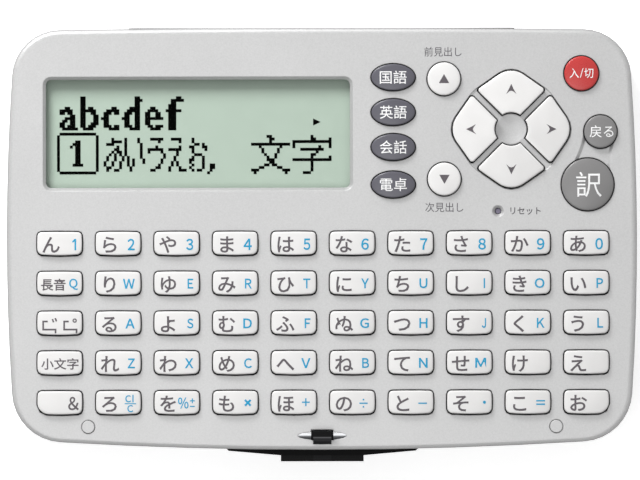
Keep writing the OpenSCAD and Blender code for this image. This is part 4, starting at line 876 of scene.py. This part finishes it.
FIRST_COLUMN = {
    1: [set_text("長音", (-1.1, -0.17), 2.1, "centre", 0.014, 4.3)],
    2: [*mark_frame(-3.03), *mark_frame(0.64), slanted(-1.4, 0.45), slanted(-0.9, 0.62),
        hoop(2.62, 0.5, 0.38, 0.17)],
    3: [set_text("小文字", (0.03, -0.1), 2.0, "centre", 0.012, 6.5)],
    4: [set_text("＆", (2.38, -0.08), 2.35, "centre", 0.014, 1.85)]}
LAST_ROW = {
    1: [set_text("Ｃ", (1.72, 0.74), 1.25, "centre", 0.02, 1.0), bar(2.45, 0.12, 2.66, 1.42),
        bar(1.1, -0.2, 3.1, -0.04), set_text("Ｃ", (2.08, -0.98), 1.25, "centre", 0.02, 1.05)],
    2: [set_text("％", (1.12, -0.02), 1.94, "centre", 0.014, 1.84), bar(2.28, 0.27, 3.12, 0.45),
        bar(2.61, -0.06, 2.79, 0.78), bar(2.28, -0.7, 3.12, -0.52)],
    3: [set_text("×", (2.16, 0.0), 1.25, "centre", 0.03, 1.25)],
    4: [bar(1.39, -0.02, 2.76, 0.2), bar(1.965, -0.6, 2.185, -0.02), bar(1.965, 0.2, 2.185, 0.78)],
    5: [bar(1.2, -0.21, 2.64, 0.01), bar(1.79, 0.4, 2.05, 0.66), bar(1.79, -0.86, 2.05, -0.6)],
    6: [bar(1.27, -0.23, 2.78, -0.01)], 7: [disc(2.59, 0.03, 0.27)],
    8: [bar(1.42, 0.15, 2.96, 0.39), bar(1.42, -0.45, 2.96, -0.21)]}
FIRST_DIGIT = [bar(2.62, DIGIT_Y - 1.0, 2.9, DIGIT_Y + 1.0),
               ([(2.2, 0.42), (2.3, 0.2), (2.62, 0.42), (2.62, 0.87)], [(0, 1, 2, 3)])]
print("keys with drawn signs:", len(FIRST_COLUMN) + len(LAST_ROW) + 1)


# %% Print the fifty small keys
def moved(part, x, y):
    return [(px + x, py + y) for px, py in part[0]], part[1]


def kana_letter(sign):
    points, faces = letter(sign, KANA_BOLD)
    return [((p.x - 0.5) * KANA_W + KANA_AT[0], (p.y - 0.37) * KANA_H + KANA_AT[1])
            for p in points], faces


def key_surface(cx, cy):
    """The dome of one small key as a function of the place."""
    def surface(x, y):
        return dome_height(x - cx, min(max(y - cy, -3), 3), SMALL_RISE, SMALL_DOME_R)
    return surface


def legends(i, j):
    """The grey and the blue marks of the key in column i and row j, round its middle."""
    grey = list(FIRST_COLUMN.get(j, [])) if i == 0 else []
    blue = []
    if KANA[j][i] != " ":
        grey.append(kana_letter(KANA[j][i]))
    if j == 4:
        blue = list(LAST_ROW.get(i, []))
    elif BLUE[j][i] != " ":
        sign = BLUE[j][i]
        height, y = (DIGIT_H, DIGIT_Y) if j == 0 else (LETTER_H, LETTER_Y)
        blue = [set_text(sign, (EDGE_X, y), height, "right", BLUE_BOLD, WIDTHS[sign])]
    if (i, j) == (0, 0):
        blue = FIRST_DIGIT
    elif (i, j) == (0, 1):
        blue = [set_text("Ｑ", (2.42, -0.1), 1.95, "centre", 0.018, 1.52)]
    elif (i, j) == (7, 1):
        blue = [bar(2.5, LETTER_Y - LETTER_H / 2, 2.74, LETTER_Y + LETTER_H / 2)]
    return grey, blue


for i, x in enumerate(column_x):
    grey_parts, blue_parts = [], []
    for j in range(ROW_COUNT):
        y = FIRST_ROW_Y - j * KEY_PITCH_Y
        for parts, found in zip((grey_parts, blue_parts), legends(i, j)):
            parts += [moved(part, x, y) for part in found]

    def column_surface(px, py, cx=x):
        middles = [FIRST_ROW_Y - j * KEY_PITCH_Y for j in range(ROW_COUNT)]
        return key_surface(cx, min(middles, key=lambda cy: abs(py - cy)))(px, py)

    body = f"key_column_{i + 1}"
    for kind, parts, colour in (("kana", grey_parts, dark_ink), ("blue", blue_parts, blue_ink)):
        if parts:
            print_ink(f"{kind}_legends_{i + 1}", parts, column_surface, colour, body)
print("legends printed on", len(column_x), "columns")

# %% Legends of the large keys
def print_key(node, at, parts, colour, rise=LARGE_RISE, radius=LARGE_DOME_R):
    def on_key(x, y):
        return dome_height(x - at[0], y - at[1], rise, radius)

    print_ink(node + "_legend", [moved(part, *at) for part in parts], on_key, colour, node)


for i, (at, word) in enumerate(zip(MODE_AT, ("国語", "英語", "会話", "電卓"))):
    print_key(f"mode_key_{i + 1}", at, [set_text(word, (0, 0), 2.3, "centre", 0.004, 4.7)],
              white_ink)
WORDS = {"back_key": set_text("戻る", (0.15, 0.03), 2.1, "centre", 0.004, 4.15),
         "enter_key": set_text("訳", (0.2, 0), 4.4, "centre", 0.0, 4.45)}
for node, word in WORDS.items():
    print_key(node, ROUND[node][0], [word], white_ink)
SLASH = ([(-0.3, -0.78), (-0.17, -0.78), (0.33, 0.86), (0.2, 0.86)], [(0, 1, 2, 3)])
print_key("power_key", ROUND["power_key"][0],
          [set_text("入", (-1.27, 0.03), 1.7, "centre", 0.004, 1.6),
           set_text("切", (1.27, 0.03), 1.7, "centre", 0.004, 1.6), SLASH], white_ink)
UP = ([(-0.9, -0.75), (0.9, -0.75), (0, 0.85)], [(0, 1, 2)])
DOWN = ([(-0.9, 0.75), (0, -0.85), (0.9, 0.75)], [(0, 1, 2)])
print_key("page_up_key", ROUND["page_up_key"][0], [UP], dark_ink)
print_key("page_down_key", ROUND["page_down_key"][0], [DOWN], dark_ink)

DART = [(0, 0.9), (-0.42, -0.02), (-0.88, -0.86), (-0.38, -0.42), (0, -0.28), (0.38, -0.42),
        (0.88, -0.86), (0.42, -0.02)]
DART_FACES = [(0, 1, 4), (1, 2, 3), (1, 3, 4), (0, 4, 7), (7, 4, 5), (7, 5, 6)]
DART_OUT = 7.0
for quarter, node in enumerate(ARROWS):
    dart = turned([(x, y + DART_OUT) for x, y in DART], quarter)
    print_key(node, PAD, [(dart, DART_FACES)], dark_ink, PAD_RISE, PAD_DOME_R)

labels = [set_text("リセット", (35.6, 4.8), 1.3, "centre", 0.012, 5.3),
          set_text("次見出し", (21.4, 5.47), 1.68, "centre", 0.0, 6.65),
          set_text("前見出し", (21.2, 32.65), 1.66, "centre", 0.0, 6.5)]
print_ink("face_labels", labels, lambda x, y: FACE_Z - 0.015, label_ink, "case")
print("large keys and face labelled")

# %% [markdown]
# The display shows black dots on a grid. For each cell of the grid sixteen rays are dropped
# onto the flat outline of a letter, which gives the share of the cell that the letter covers.
# A cell is lit where it is mostly covered, or where it is the middle of a thinner stroke. That
# turns any letter into dots as a character generator does, and a second strike, one dot to the
# right, makes the upper line bold. A second Geometry Nodes tree sets one small square on every
# lit place. The text is plain: letters in order, a number in a frame, the first signs of the
# syllabary and the word for characters. The small arrow isn't made of dots: such a sign has an
# electrode of its own.

# %% Light the dots
LCD_AT, LCD_W, LCD_D = (-21.64, 18.4), 53.12, 18.9
DOT = 0.453
DOT_SPREAD = 1.12  # a dot and its shadow on the reflector together look a little wider
DOT_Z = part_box("lcd_front_glass")[1].z / MM + INK_LIFT
COLUMNS, ROWS = int(LCD_W / DOT), int(LCD_D / DOT)
MOSTLY, THINNEST = 0.7, 0.3


def cell_at(i, j):
    return LCD_AT[0] + (i - (COLUMNS - 1) / 2) * DOT, LCD_AT[1] + (j - (ROWS - 1) / 2) * DOT


def lit_cells(part):
    """The grid cells that a letter lights: the covered ones and the middles of thin strokes."""
    shape = BVHTree.FromPolygons([Vector((x, y, 0)) for x, y in part[0]], part[1])
    steps = (-0.375, -0.125, 0.125, 0.375)
    down = Vector((0, 0, -1))
    cover = {}
    for i in range(COLUMNS):
        for j in range(ROWS):
            x, y = cell_at(i, j)
            hits = [shape.ray_cast(Vector((x + dx * DOT, y + dy * DOT, 1)), down)[0] is not None
                    for dx in steps for dy in steps]
            cover[i, j] = sum(hits) / len(hits)

    def middle(i, j, di, dj):
        here = cover[i, j]
        return here >= cover.get((i - di, j - dj), 0) and here > cover.get((i + di, j + dj), 0)

    return {(i, j) for (i, j), share in cover.items() if share >= MOSTLY
            or (share >= THINNEST and (middle(i, j, 1, 0) or middle(i, j, 0, 1)))}


# the bold upper line
LETTER_PITCH, LETTER_W, LETTER_K, FIRST_X, BASE_Y = 3.73, 2.75, 8.3, -46.0, 19.1
lit = set()
for k, sign in enumerate("abcdef"):
    points, faces = letter(sign)
    left, right = min(p.x for p in points), max(p.x for p in points)
    part = [((p.x - left) / (right - left) * LETTER_W + k * LETTER_PITCH + FIRST_X,
             p.y * LETTER_K + BASE_Y) for p in points], faces
    for i, j in lit_cells(part):
        lit |= {(i, j), (i + 1, j)}
# the lower line, written with letters
for k, sign in enumerate("あいうえお"):
    lit |= lit_cells(set_text(sign, (-36.4 + k * 3.66, 14.8), 6.2, "centre", 0.0, 3.2))
for k, sign in enumerate("文字"):
    lit |= lit_cells(set_text(sign, (-8.9 + k * 7.25, 14.9), 6.8, "centre", 0.0, 6.8))
# the frame with open corners, the number in it and the comma, written in cells
BOX_I, BOX_J = (4, 19), (5, 20)
lit |= {(i, j) for i in range(BOX_I[0], BOX_I[1] + 1) for j in range(BOX_J[0], BOX_J[1] + 1)
        if (i in BOX_I) != (j in BOX_J)}
lit |= {(i, j) for i in (11, 12) for j in range(8, 18)} | {(10, 16), (9, 15)}
lit |= {(i, 8) for i in range(10, 14)}
lit |= {(62, 5), (63, 6), (63, 7), (64, 7), (64, 8), (63, 8)}
lit = [cell_at(i, j) for i, j in sorted(lit)]
print("lit dots:", len(lit))


# %% A tree that sets a square on every lit place
def dots_tree():
    tree = bpy.data.node_groups.new("display_dots", "GeometryNodeTree")
    tree.interface.new_socket("Geometry", in_out="INPUT", socket_type="NodeSocketGeometry")
    tree.interface.new_socket("Dot size", in_out="INPUT", socket_type="NodeSocketFloat")
    tree.interface.new_socket("Material", in_out="INPUT", socket_type="NodeSocketMaterial")
    tree.interface.new_socket("Geometry", in_out="OUTPUT", socket_type="NodeSocketGeometry")
    inputs = add(tree, "NodeGroupInput")
    square = add(tree, "GeometryNodeMeshGrid", None, Size_X=inputs.outputs["Dot size"],
                 Size_Y=inputs.outputs["Dot size"], Vertices_X=2, Vertices_Y=2)
    dots = add(tree, "GeometryNodeInstanceOnPoints", None, Points=inputs.outputs["Geometry"],
               Instance=square.outputs[0])
    real = add(tree, "GeometryNodeRealizeInstances", None, Geometry=dots.outputs[0])
    done = add(tree, "GeometryNodeSetMaterial", None, Geometry=real.outputs[0],
               Material=inputs.outputs["Material"])
    add(tree, "NodeGroupOutput", None, Geometry=done.outputs[0])
    return tree


# liquid crystal between polarisers: black without any gloss of its own
crystal_black = ink("liquid_crystal_black", "#060706")
crystal_black.node_tree.nodes["Principled BSDF"].inputs["Specular IOR Level"].default_value = 0.0
dot_places = bpy.data.meshes.new("dot_places")
dot_places.from_pydata([place(x, y, DOT_Z) for x, y in lit], [], [])
dots_mesh = run_tree(dots_tree(), {"Dot size": DOT * DOT_SPREAD * MM, "Material": crystal_black},
                     dot_places)
put("display_dots", dots_mesh, crystal_black, "case")
SMALL_ARROW = ([(-1.5, 19.85), (-0.19, 20.46), (-1.5, 21.07)], [(0, 1, 2)])
print_ink("display_arrow", [SMALL_ARROW], lambda x, y: DOT_Z - INK_LIFT, crystal_black, "case")
print("dots drawn:", len(dots_mesh.polygons))

# %% [markdown]
# The battery door under the case has a row of raised ribs for the thumb. They repeat, so a
# short Geometry Nodes tree lays them along a line. Each rib is a half-round bar with closed
# ends, 0.2 mm high, so it clears the folded lid.


# %% Ribs on the battery door
RIB_L, RIB_R, RIB_COUNT, RIB_STEP = 9.0, 0.2, 7, 0.9
FIRST_RIB = (-48.5, 18.9)


def rib_mesh(length, radius, n=8):
    bm = bmesh.new()
    angles = [math.pi * k / n for k in range(n + 1)]
    rows = []
    for y in (-length / 2, length / 2):
        rows.append([bm.verts.new((radius * math.cos(a) * MM, y * MM, -radius * math.sin(a) * MM))
                     for a in angles])
    for k in range(n):
        bm.faces.new((rows[0][k], rows[0][k + 1], rows[1][k + 1], rows[1][k]))
    bm.faces.new((rows[0][0], rows[1][0], rows[1][n], rows[0][n]))
    bm.faces.new(rows[0])
    bm.faces.new(list(reversed(rows[1])))
    bmesh.ops.recalc_face_normals(bm, faces=bm.faces[:])
    mesh = bpy.data.meshes.new("rib")
    bm.to_mesh(mesh)
    bm.free()
    return mesh


def row_tree():
    tree = bpy.data.node_groups.new("row_of_ribs", "GeometryNodeTree")
    for name, kind in (("Rib", "NodeSocketObject"), ("Count", "NodeSocketInt"),
                       ("Step", "NodeSocketVector"), ("First rib", "NodeSocketVector"),
                       ("Material", "NodeSocketMaterial")):
        tree.interface.new_socket(name, in_out="INPUT", socket_type=kind)
    tree.interface.new_socket("Geometry", in_out="OUTPUT", socket_type="NodeSocketGeometry")
    inputs = add(tree, "NodeGroupInput")
    rib = add(tree, "GeometryNodeObjectInfo", None, Object=inputs.outputs["Rib"])
    line = add(tree, "GeometryNodeMeshLine", None, Count=inputs.outputs["Count"],
               Start_Location=inputs.outputs["First rib"], Offset=inputs.outputs["Step"])
    ribs = add(tree, "GeometryNodeInstanceOnPoints", None, Points=line.outputs[0],
               Instance=rib.outputs["Geometry"])
    real = add(tree, "GeometryNodeRealizeInstances", None, Geometry=ribs.outputs[0])
    done = add(tree, "GeometryNodeSetMaterial", None, Geometry=real.outputs[0],
               Material=inputs.outputs["Material"])
    add(tree, "NodeGroupOutput", None, Geometry=done.outputs[0])
    return tree


rib = loose_object("rib", rib_mesh(RIB_L, RIB_R))
ribs = run_tree(row_tree(), {"Rib": rib, "Count": RIB_COUNT, "Step": Vector((RIB_STEP * MM, 0, 0)),
                             "First rib": place(*FIRST_RIB, BACK_Z), "Material": case_paint})
bpy.data.objects.remove(rib)
put("battery_door_ribs", ribs, case_paint, "battery_door")
print("ribs:", RIB_COUNT)

# %% [markdown]
# The colours are written as they should show, so the view turns them with the plain Standard
# transform.

scene.view_settings.view_transform = "Standard"
bpy.context.view_layer.update()
